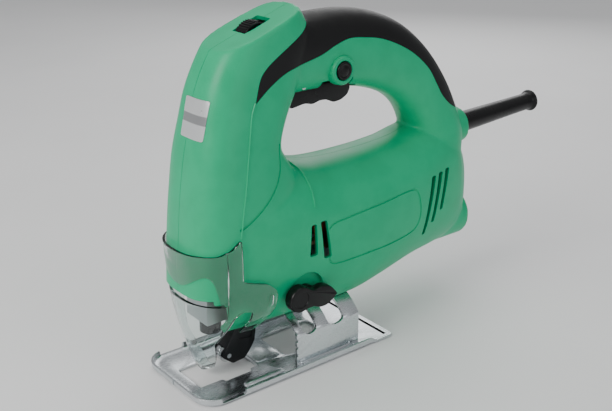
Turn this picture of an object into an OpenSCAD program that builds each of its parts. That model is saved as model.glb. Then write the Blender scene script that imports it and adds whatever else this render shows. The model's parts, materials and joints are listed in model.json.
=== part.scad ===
// Top-handle jigsaw with a pressed steel base plate, a clear chip guard and a scotch-yoke drive.
// Forward is -X, up is +Z, and the sole of the base plate lies on z = 0.
// The origin is on the sole, on the line of the saw blade.

/* [Base plate] */
// Length of the base plate
plate_len = 147; // [140:1:152]
// Width of the base plate over its flanges
plate_w = 72; // [70:1:76]
// Thickness of the pressed sheet
plate_t = 1.6; // [1.2:0.1:2]
// Height of the turned-up flanges above the sole
flange_h = 5; // [4:0.5:6]
// Width of the opening round the blade
blade_gap_w = 26; // [22:1:28]
// Width of the rip-fence gaps in the side flanges
fence_gap = 16; // [12:1:18]

/* [Bevel bracket] */
// Radius of the arched seat about the bevel axis
seat_r = 38; // [37:0.25:38.5]
// Length of the bracket
bracket_len = 50; // [44:1:52]
// Largest bevel angle to each side
bevel_max = 45; // [30:1:45]

/* [Housing] */
// Wall thickness of the moulded halves
wall = 2.6; // [2.2:0.1:3]
// Half width of the motor barrel
barrel_hw = 31.5; // [31:0.25:32.5]
// Half width of the handle
handle_hw = 17.5; // [16.5:0.25:18.5]
// Thickness of the soft grip
grip_t = 2; // [1.5:0.1:2.2]
// Half width of the head
head_hw = 26.5; // [26:0.25:27]

/* [Chip guard] */
// Wall of the clear guard
guard_t = 1.6; // [1.2:0.1:1.8]
// Gap between the guard and the head
guard_gap = 0.5; // [0.4:0.1:0.8]

/* [Drive] */
// Radius of the crank pin's circle, half the stroke
crank_r = 10; // [8:0.5:10]
// Diameter of the plunger
plunger_d = 9; // [8:0.5:9]
// Teeth on the drive gear
gear_teeth = 44; // [40:2:44]
// Teeth on the armature pinion
pinion_teeth = 8; // [8:1:9]
// Diameter of the armature shaft
shaft_d = 8; // [7:0.5:8]

/* [Controls] */
// Diameter of the lock button
lock_d = 11; // [9:0.5:12]
// Diameter of the speed dial wheel
dial_d = 20; // [18:0.5:21]
// Bore of the cord guard
cord_bore = 7.2; // [6:0.2:7.6]
// Bore of the dust socket
dust_bore = 27; // [24:0.5:28]

/* [Hidden] */
eps = 0.01;
fine = 48;
round_fn = 32;

module_mm = 1;
gear_r = gear_teeth * module_mm / 2;
pinion_r = pinion_teeth * module_mm / 2;
motor_z = 80;
gear_z = motor_z + gear_r + pinion_r;
gear_x = 24;
gear_t = 8;

plate_x0 = -28;
plate_x1 = plate_x0 + plate_len;
bracket_x0 = 43;
bracket_x1 = bracket_x0 + bracket_len;
bracket_hw = 30;
seat_clear = seat_r + 0.6;

cord_pos = [205, 0, 120.5];
cord_tilt = 2.5;
cord_len = 79;
dust_z = 57;
dust_r = 17;
dust_x1 = 207;

lock_pos = [87, 0, 180];
trigger_pivot = [62, 0, 173];
dial_pos = [35.5, 0, 203.5];
cap_slope = 20;
cap_pos = [28, 0, 208.5];
orbit_pos = [50, 0, 50];
arm_pivot = [25, 0, 46];
roller_pos = [9.2, 0, 10.4];
roller_r = 5;

green = [0, 0.62, 0.40];
black = [0.05, 0.05, 0.05];
steel = [0.70, 0.72, 0.74];
alu = [0.78, 0.79, 0.80];
copper = [0.72, 0.42, 0.22];
brass = [0.80, 0.66, 0.34];

// ---------- curves and sweeps ----------

// Smooth value of table [[t, value], ...] at t, by a Catmull-Rom spline through its rows
function spline(tab, t) =
    let (n = len(tab),
         i = max([for (k = [0 : n - 2]) if (t >= tab[k][0] || k == 0) k]),
         p1 = tab[i], p2 = tab[i + 1],
         p0 = tab[max(i - 1, 0)], p3 = tab[min(i + 2, n - 1)],
         h = p2[0] - p1[0],
         u = min(max((t - p1[0]) / h, 0), 1),
         m1 = (p2[1] - p0[1]) / (p2[0] - p0[0]) * h,
         m2 = (p3[1] - p1[1]) / (p3[0] - p1[0]) * h)
    (2 * u ^ 3 - 3 * u ^ 2 + 1) * p1[1] + (u ^ 3 - 2 * u ^ 2 + u) * m1
    + (3 * u ^ 2 - 2 * u ^ 3) * p2[1] + (u ^ 3 - u ^ 2) * m2;

// One point of a superellipse with half sizes a and b and exponent n
function super_pt(a, b, n, ang) =
    [a * sign(cos(ang)) * abs(cos(ang)) ^ (2 / n), b * sign(sin(ang)) * abs(sin(ang)) ^ (2 / n)];

// Solid skinned over a list of closed rings with the same number of points
module skin(rings) {
    m = len(rings[0]);
    k = len(rings);
    points = [for (r = rings) each r];
    sides = [for (i = [0 : k - 2]) for (j = [0 : m - 1])
        let (a = i * m + j, b = i * m + (j + 1) % m)
        each [[a, b + m, b], [a, a + m, b + m]]];
    caps = [[for (j = [0 : m - 1]) j], [for (j = [m - 1 : -1 : 0]) (k - 1) * m + j]];
    polyhedron(points, concat(sides, caps), convexity = 6);
}

ring_pts = 28;

// Front, rear and half width of the head at height z
head_front = [[58, -18], [80, -20.5], [100, -22], [120, -21], [140, -17.5], [160, -11.5],
              [180, -4.5], [200, 6], [222, 24]];
head_rear = [[58, 34], [98, 54], [118, 56], [132, 50], [142, 44.5], [160, 50], [178, 60],
             [196, 67], [210, 66.5], [222, 60]];
head_side = [[58, 27], [100, 28.5], [130, 27], [160, 24.5], [185, 22], [205, 20.5], [222, 17]];
head_z0 = 58;
head_z1 = 222;
head_steps = 22;

// Front of a section that is blunter at the front than at the rear
module head(o) {
    skin([for (i = [0 : head_steps])
        let (z = head_z0 + o * (i == 0 ? -1 : i == head_steps ? 1 : 0)
                 + (head_z1 - head_z0) * i / head_steps,
             f = spline(head_front, z) - o, r = spline(head_rear, z) + o,
             w = head_hw / 26.5 * spline(head_side, z) + o)
        [for (j = [0 : ring_pts - 1])
            let (p = super_pt((r - f) / 2, w, 3.1, 360 * j / ring_pts))
            [(f + r) / 2 + p[0], p[1], z]]]);
}

// Bottom, top and half width of the barrel along x
barrel_bottom = [[-4, 31], [30, 29], [97, 29], [120, 33], [150, 39], [180, 42], [200, 46]];
barrel_top = [[-4, 118], [20, 130], [50, 129], [75, 124], [110, 123], [140, 125], [165, 130],
              [188, 126], [200, 112]];
barrel_side = [[-4, 28], [20, 30.5], [55, 31.5], [110, 31], [145, 28.5], [175, 25], [192, 21.5],
               [200, 17]];
barrel_x0 = -4;
barrel_x1 = 200;
barrel_steps = 24;

module barrel(o) {
    skin([for (i = [0 : barrel_steps])
        let (x = barrel_x0 + (barrel_x1 - barrel_x0) * i / barrel_steps
                 + o * (i == 0 ? -1 : i == barrel_steps ? 1 : 0),
             b = spline(barrel_bottom, x) - o, t = spline(barrel_top, x) + o,
             w = barrel_hw / 31.5 * spline(barrel_side, x) + o)
        [for (j = [0 : ring_pts - 1])
            let (p = super_pt(w, (t - b) / 2, 2.6, 360 * j / ring_pts))
            [x, p[0], (t + b) / 2 + p[1]]]]);
}

// Centre line and half sizes of the handle, by a parameter that runs from the cap to the rear
handle_x = [[0, 50], [1, 74], [2, 95], [3, 115], [4, 134], [5, 151], [6, 165], [7, 175], [8, 181],
            [9, 182]];
handle_z = [[0, 190], [1, 190.5], [2, 190], [3, 186.5], [4, 179.5], [5, 168.5], [6, 154], [7, 137],
            [8, 118], [9, 98]];
handle_half = [[0, 22], [1, 23], [2, 23.5], [3, 23.5], [4, 22.5], [5, 20.5], [6, 19], [7, 19],
               [8, 20], [9, 18]];
handle_side = [[0, 19.5], [1, 18], [2, 17.5], [5, 17], [7, 18.5], [8, 20.5], [9, 20]];
handle_steps = 24;

module handle(o) {
    skin([for (i = [0 : handle_steps])
        let (s = 9 * i / handle_steps, d = 0.02,
             x = spline(handle_x, s), z = spline(handle_z, s),
             tx = spline(handle_x, s + d) - spline(handle_x, s - d),
             tz = spline(handle_z, s + d) - spline(handle_z, s - d),
             l = norm([tx, tz]),
             h = spline(handle_half, s) + o,
             w = handle_hw / 17.5 * spline(handle_side, s) + o)
        [for (j = [0 : ring_pts - 1])
            let (p = super_pt(w, h, 2.4, 360 * j / ring_pts))
            [x - p[1] * tz / l, p[0], z + p[1] * tx / l]]]);
}

// Whole outer form of the housing, grown by o; the hollow is the same form with a negative o
module body_form(o) {
    difference() {
        head(o);
        translate([cap_pos[0], 0, cap_pos[2] + o]) rotate([0, -cap_slope, 0])
            translate([-90, -50, 0]) cube([200, 100, 60]);
    }
    barrel(o);
    handle(o);
    translate([170, 0, dust_z]) rotate([0, 90, 0])
        cylinder(r = dust_r + o, h = dust_x1 - 170 + min(o, 0), $fn = fine);
    translate(cord_pos) rotate([0, 90 - cord_tilt, 0])
        translate([0, 0, -22]) cylinder(r = 12.5 + o, h = 24 + min(o, 0), $fn = fine);
}

// Side outline of the soft grip
grip_line = [[20, 172], [24, 184], [28, 189.5], [34, 194], [46, 201], [57, 207], [65, 213],
             [70, 226], [100, 226], [160, 205], [215, 165], [215, 136], [203, 134], [184, 141],
             [174, 149], [168, 158], [161, 169], [150, 179], [137, 187], [120, 194],
             [105, 197], [93, 198], [82, 195.5], [71, 191.5], [56, 188.5], [43, 186], [31, 180]];

module grip_zone() {
    rotate([90, 0, 0]) linear_extrude(height = 90, center = true) polygon(grip_line);
}

// ---------- housing ----------

// A slot that is slanted in side view, cut through one side wall; z0 and z1 are its ends
module vent(x0, z0, x1, z1, w0, w1) {
    rotate([90, 0, 0]) linear_extrude(height = 100, center = true)
        polygon([[x0, z0], [x0 + w0, z0], [x1 + w1, z1], [x1, z1]]);
}

module vents() {
    vent(52, 74, 53.5, 94, 6, 4);
    vent(63, 70, 60.5, 94.5, 6, 5);
    for (i = [0 : 2])
        vent(151 + 8 * i, 60 + 7 * i, 158 + 7 * i, 100 + i, 3, 4);
}

module housing_cuts($fn = fine) {
    // concave seat over the bevel bracket
    translate([-60, 0, 0]) rotate([0, 90, 0]) cylinder(r = seat_clear, h = 300, $fn = 72);
    // channel for the plunger, the clamp and the roller arm
    translate([-60, -12.5, 0]) cube([92, 25, 62]);
    translate([-60, -24, 0]) cube([59, 48, 62]);
    vents();
    // trigger slot
    translate([50, -9.6, 150]) cube([55.5, 19.2, 30]);
    // lock button hole on the left side
    translate([lock_pos[0], -40, lock_pos[2]]) rotate([-90, 0, 0])
        cylinder(r = lock_d / 2 + 0.4, h = 40, $fn = fine);
    // window of the speed dial
    translate(cap_pos) rotate([0, -cap_slope, 0]) translate([0, -6.5, -30]) cube([16.5, 13, 40]);
    translate(dial_pos) rotate([90, 0, 0]) cylinder(r = dial_d / 2 + 0.6, h = 12, center = true);
    // recess of the rating plate, hole of the trigger pin and of the bevel clamp screw
    label_block();
    translate(trigger_pivot) rotate([90, 0, 0]) cylinder(r = 1.6, h = 26.4, center = true);
    translate([clamp_x, 0, 20]) cylinder(r = 2.4, h = 50);
    // recess of the orbit lever, with the hole of its shaft
    translate([orbit_pos[0], -60, orbit_pos[2]]) rotate([-90, 0, 0])
        cylinder(r = 14, h = 60 - 27.4, $fn = fine);
    translate([orbit_pos[0], -60, orbit_pos[2]]) rotate([-90, 0, 0])
        cylinder(r = 4.4, h = 60, $fn = fine);
    // dust socket and cord bores
    translate([160, 0, dust_z]) rotate([0, 90, 0])
        cylinder(r = dust_bore / 2 + 1.7, h = 80, $fn = fine);
    translate(cord_pos) rotate([0, 90 - cord_tilt, 0])
        translate([0, 0, -40]) cylinder(r = 7.5, h = 80, $fn = fine);
    // screw holes, open on the right side only
    for (p = screw_points)
        translate([p[0], -8.6, p[1]]) rotate([-90, 0, 0]) cylinder(r = 2.3, h = 70, $fn = 24);
}

screw_points = [[14, 160], [30, 177], [112, 118], [152, 163], [187, 96], [104, 46], [140, 50]];

// Posts that the housing screws run into, and the cheeks beside the roller arm
module screw_posts() {
    intersection() {
        body_form(-wall / 2);
        for (y = [-15, 12.5]) translate([-1, y, 20]) cube([34, 2.5, 35.5]);
    }
    // floor of the orbit lever's recess
    intersection() {
        body_form(-wall / 2);
        translate([orbit_pos[0], -27.4, orbit_pos[2]]) rotate([-90, 0, 0])
            cylinder(r = 15.6, h = 2, $fn = fine);
    }
    // floor of the barrel over the bevel seat
    intersection() {
        body_form(-wall / 2);
        translate([33, 0, 0]) rotate([0, 90, 0]) cylinder(r = seat_clear + 2.4, h = 130, $fn = 72);
    }
    intersection() {
        body_form(-wall / 2);
        for (p = screw_points)
            translate([p[0], -40, p[1]]) rotate([-90, 0, 0]) cylinder(r = 4.2, h = 80, $fn = 24);
    }
}

module housing_half(side) {
    color(green) resize([0, 0, 0]) intersection() {
        translate([-100, side < 0 ? -60 : 0, 0]) cube([400, 60, 260]);
        difference() {
            union() {
                difference() {
                    body_form(0);
                    body_form(-wall);
                }
                // floor under the soft grip
                intersection() {
                    grip_zone();
                    difference() {
                        body_form(-grip_t);
                        body_form(-grip_t - wall + 0.6);
                    }
                }
                // raised collar round the lock button
                translate([lock_pos[0], -19.5, lock_pos[2]]) rotate([-90, 0, 0])
                    cylinder(r = 8.6, h = 9, $fn = fine);
                screw_posts();
            }
            difference() {
                grip_zone();
                body_form(-grip_t);
            }
            translate([lock_pos[0] - 12, -14, 168]) cube([24, 28, 24]);
            housing_cuts();
        }
    }
}

module housing_left() {
    housing_half(-1);
}

module housing_right() {
    housing_half(1);
}

module handle_grip() {
    color(black) resize([0, 0, 0]) intersection() {
        grip_zone();
        difference() {
            body_form(0.2);
            body_form(-grip_t);
        }
    }
}

// Plain rating plate that follows the front of the head
module label_block() {
    intersection() {
        translate([-30, -14, 154]) cube([40, 20, 22]);
        difference() {
            head(0.2);
            head(-0.4);
        }
    }
}

module label_plate() {
    color(steel) resize([0, 0, 0]) label_block();
}

module housing_screws() {
    color(steel) for (p = screw_points) translate([p[0], -8, p[1]]) rotate([-90, 0, 0]) {
        cylinder(d = 3.4, h = 17, $fn = fine);
        translate([0, 0, 16]) cylinder(d = 4.4, h = 2, $fn = fine);
    }
}

module dust_socket() {
    color(green) translate([172, 0, dust_z]) rotate([0, 90, 0]) difference() {
        cylinder(r = dust_bore / 2 + 1.5, h = dust_x1 - 172.5, $fn = fine);
        translate([0, 0, -1]) cylinder(d = dust_bore, h = 80, $fn = fine);
    }
}

// ---------- cord entry ----------

module at_cord() {
    translate(cord_pos) rotate([0, 90 - cord_tilt, 0]) children();
}

module cord_guard() {
    color(black) at_cord() difference() {
        rotate_extrude($fn = fine) polygon([[0, -14], [10, -14], [10, -9], [7.4, -9], [7.4, 0],
            [6, cord_len - 3], [7.6, cord_len - 1.5], [7.8, cord_len], [0, cord_len]]);
        translate([0, 0, -20]) cylinder(d = cord_bore, h = cord_len + 40, $fn = fine);
    }
}

module cord_clamp() {
    color(black) difference() {
        translate([178, -9, 112]) cube([7, 18, 3.5]);
        for (y = [-6, 6]) translate([181.5, y, 100]) cylinder(d = 2.8, h = 30, $fn = fine);
    }
}

module cord_clamp_screws() {
    color(steel) for (y = [-6, 6]) translate([181.5, y, 108.5]) {
        cylinder(d = 2.8, h = 12, $fn = fine);
        cylinder(d = 5, h = 3.5, $fn = fine);
    }
}

// ---------- base ----------

module plate_outline() {
    r = 10;
    hull() {
        for (y = [-1, 1]) translate([plate_x0 + r, y * (plate_w / 2 - r)]) circle(r = r, $fn = 40);
        translate([plate_x1 - 3, -plate_w / 2]) square([1, plate_w]);
        for (y = [-1, 1])
            translate([plate_x1 - 3, y * (plate_w / 2 - 3)]) circle(r = 3, $fn = 24);
    }
}

module base_plate() {
    gap_hw = blade_gap_w / 2;
    color(steel) difference() {
        union() {
            linear_extrude(height = plate_t) plate_outline();
            // turned-up flange along the front and the sides
            linear_extrude(height = flange_h) difference() {
                plate_outline();
                offset(delta = -plate_t) plate_outline();
            }
            // stiffening beads beside the blade opening
            for (y = [-27.5, 27.5]) translate([6, y, 0]) rotate([0, 90, 0])
                intersection() {
                    cylinder(r = 3.2, h = 30, $fn = round_fn);
                    translate([-3.2, -4, 0]) cube([3.2, 8, 30]);
                }
            // bridge between the two openings
            translate([27, -10, plate_t - eps]) cube([16, 20, 1]);
        }
        // blade opening, wider behind the blade
        translate([-17, -gap_hw, -1]) cube([42, blade_gap_w, 9]);
        translate([-1, -gap_hw - 3, -1]) cube([20, blade_gap_w + 6, 9]);
        // second opening
        translate([46, -15, -1]) cube([40, 30, 9]);
        // the rear edge stays flat
        translate([plate_x1 - 18, -60, plate_t]) cube([30, 120, 9]);
        // rip-fence gaps
        for (y = [-1, 1]) translate([-16, y * (plate_w / 2) - 4, plate_t]) cube([fence_gap, 8, 9]);
        // sighting notch
        translate([plate_x0 - 1, -0.8, plate_t]) cube([4, 1.6, 9]);
        // rivet holes
        for (p = rivet_points) translate([p[0], p[1], -1]) cylinder(d = 3, h = 9, $fn = fine);
    }
}

rivet_points = [for (x = [bracket_x0 + 5, bracket_x1 - 5]) for (y = [-32.2, 32.2]) [x, y]];

// Section of the arched sheet: an arc about the bevel axis that ends in upright walls
module bracket_section() {
    t = 1.8;
    difference() {
        intersection() {
            circle(r = seat_r, $fn = 96);
            translate([-bracket_hw, plate_t]) square([2 * bracket_hw, seat_r]);
        }
        intersection() {
            circle(r = seat_r - t, $fn = 96);
            translate([-bracket_hw + t, plate_t - 1]) square([2 * (bracket_hw - t), seat_r]);
        }
    }
}

module bevel_bracket() {
    color(steel) difference() {
        union() {
            translate([bracket_x0, 0, 0]) rotate([90, 0, 90])
                linear_extrude(height = bracket_len) bracket_section();
            for (y = [-1, 1]) translate([bracket_x0, y * 31.6 - 2.3, plate_t])
                cube([bracket_len, 4.6, 1.6]);
        }
        // the two slots that run across the arch
        for (p = [[48, 11], [68, 13]]) translate([p[0], -60, 22]) cube([p[1], 120, 40]);
        for (p = rivet_points) translate([p[0], p[1], -1]) cylinder(d = 3, h = 9, $fn = fine);
    }
}

module bracket_rivets() {
    color(steel) for (p = rivet_points) translate([p[0], p[1], 0.2]) {
        cylinder(d = 3, h = 3.2, $fn = fine);
        translate([0, 0, 3]) cylinder(d = 4, h = 1.2, $fn = fine);
    }
}

clamp_x = 74.5;

// Plate under the arch that the clamp screw pulls up
module bevel_clamp_plate() {
    color(steel) difference() {
        translate([clamp_x - 10, -2.9, seat_r - 6]) cube([20, 5.8, 3.6]);
        translate([clamp_x, 0, 20]) cylinder(d = 4.6, h = 40, $fn = fine);
    }
}

module bevel_clamp_screw() {
    color(steel) translate([clamp_x, 0, seat_r - 10]) {
        cylinder(d = 4.6, h = 26, $fn = fine);
        cylinder(d = 7.6, h = 4, $fn = fine);
    }
}

// ---------- chip guard ----------

// Front, rear and half width of the guard's outer form at height z
guard_front = [[6, -9], [12, -12], [30, -16.5], [60, -20.8], [101, -25]];
guard_side = [[6, 4], [12, 7.5], [22, 14], [36, 24.5], [46, 30.5], [56, 32.7], [75, 32.7],
              [101, 31.6]];
guard_rear = [[6, 4], [12, 10], [30, 40], [50, 64], [101, 70]];
guard_z0 = 6;
guard_z1 = 101;
guard_steps = 14;

module guard_form(o) {
    skin([for (i = [0 : guard_steps])
        let (z = guard_z0 + (guard_z1 - guard_z0) * i / guard_steps
                 - (i == 0 && o < 0 ? o : 0),
             f = spline(guard_front, z) - o, r = spline(guard_rear, z) + o,
             w = spline(guard_side, z) + o)
        [for (j = [0 : ring_pts - 1])
            let (p = super_pt((r - f) / 2, w, 2.6, 360 * j / ring_pts))
            [(f + r) / 2 + p[0], p[1], z]]]);
}

// Side outline of the guard, from the nose up the front and down the cut-away rear edge
guard_line = [[-40, 0], [-40, 91], [-24, 89.5], [-10, 89.5], [-2, 92.5], [4, 98], [4, 71], [22, 66],
              [27, 59], [26, 50], [21, 41], [14, 35], [4, 36], [10, 50], [4, 53], [-2, 49],
              [-7, 30], [-1, 10], [0, 0]];

module chip_guard() {
    color([0.85, 0.9, 0.92, 0.4]) resize([0, 0, 0]) difference() {
        intersection() {
            rotate([90, 0, 0]) linear_extrude(height = 90, center = true) polygon(guard_line);
            difference() {
                guard_form(0);
                guard_form(-guard_t);
                head_clear();
            }
        }
    }
}

// Clearance over the head for the guard
module head_clear() {
    head(guard_gap);
    barrel(guard_gap);
}

// ---------- gear case and plunger ----------

module gear_case() {
    color(alu) difference() {
        union() {
            translate([-9, -11, 52]) cube([24, 22, 96]);
            // nose that shrouds the blade clamp
            translate([-9, -11, 40]) cube([24, 22, 12.5]);
            translate([15, 0, gear_z]) rotate([0, 90, 0]) cylinder(r = 24.4, h = 23, $fn = fine);
            translate([15, -17, 56]) cube([23, 34, 40]);
            translate([38, 0, gear_z]) rotate([0, 90, 0]) cylinder(r = 19, h = 8, $fn = fine);
            translate([38, -20, 56]) cube([8, 40, 50]);
        }
        // chamber of the gear and the yoke
        translate([-5, -8.5, 66]) cube([22, 17, 70]);
        translate([8, 0, gear_z]) rotate([0, 90, 0]) cylinder(r = 22.9, h = 29.5, $fn = fine);
        translate([18, -14, 70]) cube([19.5, 28, 30]);
        // plunger and bush bores
        translate([0, 0, 40]) cylinder(d = plunger_d + 4, h = 120, $fn = fine);
        translate([0, 0, 39]) cylinder(r = 8.2, h = 13, $fn = fine);
        // front bearing seat and shaft bore
        translate([20, 0, motor_z]) rotate([0, 90, 0]) cylinder(r = 7, h = 40, $fn = fine);
        translate([38, 0, motor_z]) rotate([0, 90, 0]) cylinder(r = 11, h = 20, $fn = fine);
        // gear pin seat
        translate([30, 0, gear_z]) rotate([0, 90, 0]) cylinder(r = 4, h = 30, $fn = fine);
        for (p = case_screw_points)
            translate([30, p[0], p[1]]) rotate([0, 90, 0]) cylinder(d = 3.4, h = 30, $fn = fine);
    }
}

case_screw_points = [[-16, 61], [16, 61], [-12, 117], [12, 117]];

module gear_case_screws() {
    color(steel) for (p = case_screw_points) translate([38.5, p[0], p[1]]) rotate([0, 90, 0]) {
        cylinder(d = 3.4, h = 7.6, $fn = fine);
        translate([0, 0, 7.5]) cylinder(d = 6, h = 2.4, $fn = fine);
    }
}

module plunger_bushes() {
    color(brass) for (z = [53, 136.5]) translate([0, 0, z]) difference() {
        cylinder(d = plunger_d + 4, h = 10.5, $fn = fine);
        translate([0, 0, -1]) cylinder(d = plunger_d + 0.1, h = 20, $fn = fine);
    }
}

module plunger() {
    color(steel) difference() {
        translate([0, 0, 31]) cylinder(d = plunger_d, h = 123, $fn = fine);
        // slot for the blade's shank
        translate([-4, -0.8, 25]) cube([8, 1.6, 20]);
    }
}

// Slotted plate that turns the crank pin's circle into the stroke
module yoke() {
    slot_h = 8.4;
    color(steel) difference() {
        union() {
            translate([9, -18, gear_z - 7.5]) cube([3, 36, 15]);
            translate([3.6, -5, gear_z - 7.5]) cube([5.6, 10, 15]);
        }
        translate([8.9, -15, gear_z - slot_h / 2]) cube([4, 30, slot_h]);
        translate([0, 0, gear_z - 20]) cylinder(d = plunger_d, h = 40, $fn = fine);
    }
}

clamp_screw_z = [33.4, 38.2];

module blade_clamp() {
    color(steel) difference() {
        translate([0, 0, 30.5]) cylinder(d = 13, h = 10.5, $fn = fine);
        translate([0, 0, 25]) cylinder(d = plunger_d, h = 25, $fn = fine);
        for (z = clamp_screw_z) translate([0, -10, z]) rotate([-90, 0, 0])
            cylinder(d = 3, h = 10, $fn = fine);
    }
}

module blade_clamp_screws() {
    color(black) for (z = clamp_screw_z) translate([0, -7.6, z]) rotate([-90, 0, 0])
        cylinder(d = 3, h = 3, $fn = fine);
}

// Spur gear outline with plain trapezoid teeth that leave running clearance
module toothed(teeth, r, depth) {
    step = 360 / teeth;
    half = 360 * 0.6 / (2 * PI * r);
    polygon([for (i = [0 : teeth - 1]) let (a = i * step) each [
        [(r - depth) * cos(a - 1.5 * half), (r - depth) * sin(a - 1.5 * half)],
        [(r + depth * 0.4) * cos(a - 0.7 * half), (r + depth * 0.4) * sin(a - 0.7 * half)],
        [(r + depth * 0.4) * cos(a + 0.7 * half), (r + depth * 0.4) * sin(a + 0.7 * half)],
        [(r - depth) * cos(a + 1.5 * half), (r - depth) * sin(a + 1.5 * half)]]]);
}

module drive_gear() {
    color(steel) translate([gear_x, 0, gear_z]) rotate([0, 90, 0]) difference() {
        union() {
            linear_extrude(height = gear_t) toothed(gear_teeth, gear_r, 1.1);
            translate([0, 0, -3]) cylinder(r = 5.6, h = 3 + eps, $fn = fine);
        }
        translate([0, 0, -10]) cylinder(d = 8.06, h = 40, $fn = fine);
        translate([0, crank_r, -10]) cylinder(d = 4, h = 40, $fn = fine);
    }
}

module gear_pin() {
    color(steel) translate([gear_x - 3, 0, gear_z]) rotate([0, 90, 0])
        cylinder(d = 8, h = 24, $fn = fine);
}

// Crank pin with its roller; it stops just short of the yoke
module crank_pin() {
    color(steel) translate([0, crank_r, gear_z]) rotate([0, 90, 0]) {
        translate([0, 0, 13]) cylinder(d = 4, h = gear_x + gear_t - 13, $fn = fine);
        translate([0, 0, 13]) difference() {
            cylinder(d = 7.8, h = 7.5, $fn = fine);
            translate([0, 0, -1]) cylinder(d = 4, h = 20, $fn = fine);
        }
    }
}

// ---------- motor ----------

module at_motor(x) {
    translate([x, 0, motor_z]) rotate([0, 90, 0]) children();
}

module armature_shaft() {
    color(steel) {
        at_motor(46.2) cylinder(d = shaft_d, h = 116, $fn = fine);
        at_motor(38) cylinder(d = 8, h = 8.2 + eps, $fn = fine);
        at_motor(33) cylinder(d = 6, h = 5 + eps, $fn = fine);
        at_motor(22.5) rotate([0, 0, 180 / pinion_teeth])
            linear_extrude(height = 10.5 + eps) toothed(pinion_teeth, pinion_r, 1.1);
    }
}

module armature_core() {
    color(steel) at_motor(76) difference() {
        cylinder(r = 16, h = 40, $fn = fine);
        translate([0, 0, -1]) cylinder(d = shaft_d, h = 60, $fn = fine);
        for (i = [0 : 11]) rotate([0, 0, 30 * i]) translate([12.8, -1.4, -1]) cube([5, 2.8, 60]);
    }
}

module armature_windings() {
    color(copper) for (x = [68.5, 116]) at_motor(x) difference() {
        cylinder(r = 14, h = 7.5, $fn = fine);
        translate([0, 0, -1]) cylinder(d = shaft_d, h = 20, $fn = fine);
    }
    color(copper) at_motor(76) for (i = [0 : 11]) rotate([0, 0, 30 * i])
        translate([12.8, -1.4, 0]) cube([2.4, 2.8, 40]);
}

module commutator() {
    color(copper) at_motor(127) difference() {
        cylinder(r = 9.5, h = 14, $fn = fine);
        translate([0, 0, -1]) cylinder(d = shaft_d, h = 20, $fn = fine);
        for (i = [0 : 23]) rotate([0, 0, 15 * i]) translate([9, -0.2, 1]) cube([2, 0.4, 20]);
    }
}

module fan() {
    color(black) at_motor(51) {
        difference() {
            cylinder(r = 8, h = 12, $fn = fine);
            translate([0, 0, -1]) cylinder(d = shaft_d, h = 20, $fn = fine);
        }
        difference() {
            cylinder(r = 25, h = 1.6, $fn = fine);
            translate([0, 0, -1]) cylinder(r = 7.9, h = 20, $fn = fine);
        }
        for (i = [0 : 10]) rotate([0, 0, 360 / 11 * i]) translate([9, -0.8, 0]) cube([15, 1.6, 10]);
    }
}

// Ball bearing: two rings and their balls, joined by the cage
module ball_bearing(od, id, w) {
    mid = (od + id) / 4;
    difference() {
        cylinder(d = od, h = w, $fn = fine);
        translate([0, 0, -1]) cylinder(d = id, h = w + 2, $fn = fine);
        for (z = [-1, w - 1]) translate([0, 0, z]) difference() {
            cylinder(r = mid + 1.3, h = 2, $fn = fine);
            translate([0, 0, -1]) cylinder(r = mid - 1.3, h = 4, $fn = fine);
        }
    }
}

module front_bearing() {
    color(steel) at_motor(38.2) ball_bearing(22, 8.04, 7);
}

module rear_bearing() {
    color(steel) at_motor(153) ball_bearing(22, shaft_d + 0.04, 7);
}

module stator_core() {
    color(steel) at_motor(78) difference() {
        cylinder(r = 26, h = 36, $fn = fine);
        translate([0, 0, -1]) cylinder(r = 17, h = 60, $fn = fine);
        for (s = [-1, 1]) translate([-9, s * 19.5 - 3.5, -1]) cube([18, 7, 60]);
    }
}

module field_coils() {
    color(copper) at_motor(72) for (s = [-1, 1]) difference() {
        union() {
            translate([-8.5, s * 20 - 2.5, 0]) cube([17, 5, 48]);
            translate([-8.5, s * 20 - 2.5, 0]) cube([17, 5, 5]);
        }
        cylinder(r = 17.4, h = 60, $fn = fine);
    }
}

module brush_holders() {
    color(brass) for (s = [-1, 1]) translate([130, s * 17 - 6, motor_z - 4]) difference() {
        cube([8, 12, 8]);
        translate([1.2, -1, 1.2]) cube([5.6, 14, 5.6]);
    }
}

module carbon_brushes() {
    color([0.15, 0.15, 0.16]) for (s = [-1, 1])
        translate([131.3, s * 14.8 - 5, motor_z - 2.7]) cube([5.4, 10, 5.4]);
}

module spring(r, wire, turns, pitch) {
    for (i = [0 : turns - 1]) translate([0, 0, pitch * i]) rotate_extrude($fn = round_fn)
        translate([r, 0]) circle(d = wire, $fn = 16);
    translate([r - 0.3 * wire, -0.3 * wire, 0]) cube([0.6 * wire, 0.6 * wire, pitch * (turns - 1)]);
}

module brush_springs() {
    color(steel) for (s = [-1, 1]) translate([134, s * 20.4, motor_z]) rotate([s * -90, 0, 0])
        spring(1.8, 0.5, 3, 0.9);
}

// ---------- switch and controls ----------

module switch_body() {
    color(black) difference() {
        translate([72, -9, 182]) cube([42, 18, 16]);
        translate([lock_pos[0], -20, lock_pos[2]]) rotate([-90, 0, 0])
            cylinder(r = lock_d / 2 + 0.5, h = 40, $fn = fine);
    }
}

// Finger side of the trigger: three shallow scallops
trigger_line = [[60, 172], [57, 168], [55, 160], [60, 160.5], [66, 161.5], [72, 160], [78, 161.5],
                [83, 161], [88, 158.5], [94, 159], [99, 161.5], [101, 165], [101, 170], [66, 172]];

module trigger() {
    color(black) difference() {
        union() {
            rotate([90, 0, 0]) linear_extrude(height = 17, center = true) polygon(trigger_line);
            translate(trigger_pivot) rotate([90, 0, 0]) cylinder(r = 4, h = 17, center = true, $fn = fine);
        }
        translate(trigger_pivot) rotate([90, 0, 0]) cylinder(r = 1.55, h = 30, center = true, $fn = fine);
    }
}

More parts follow.
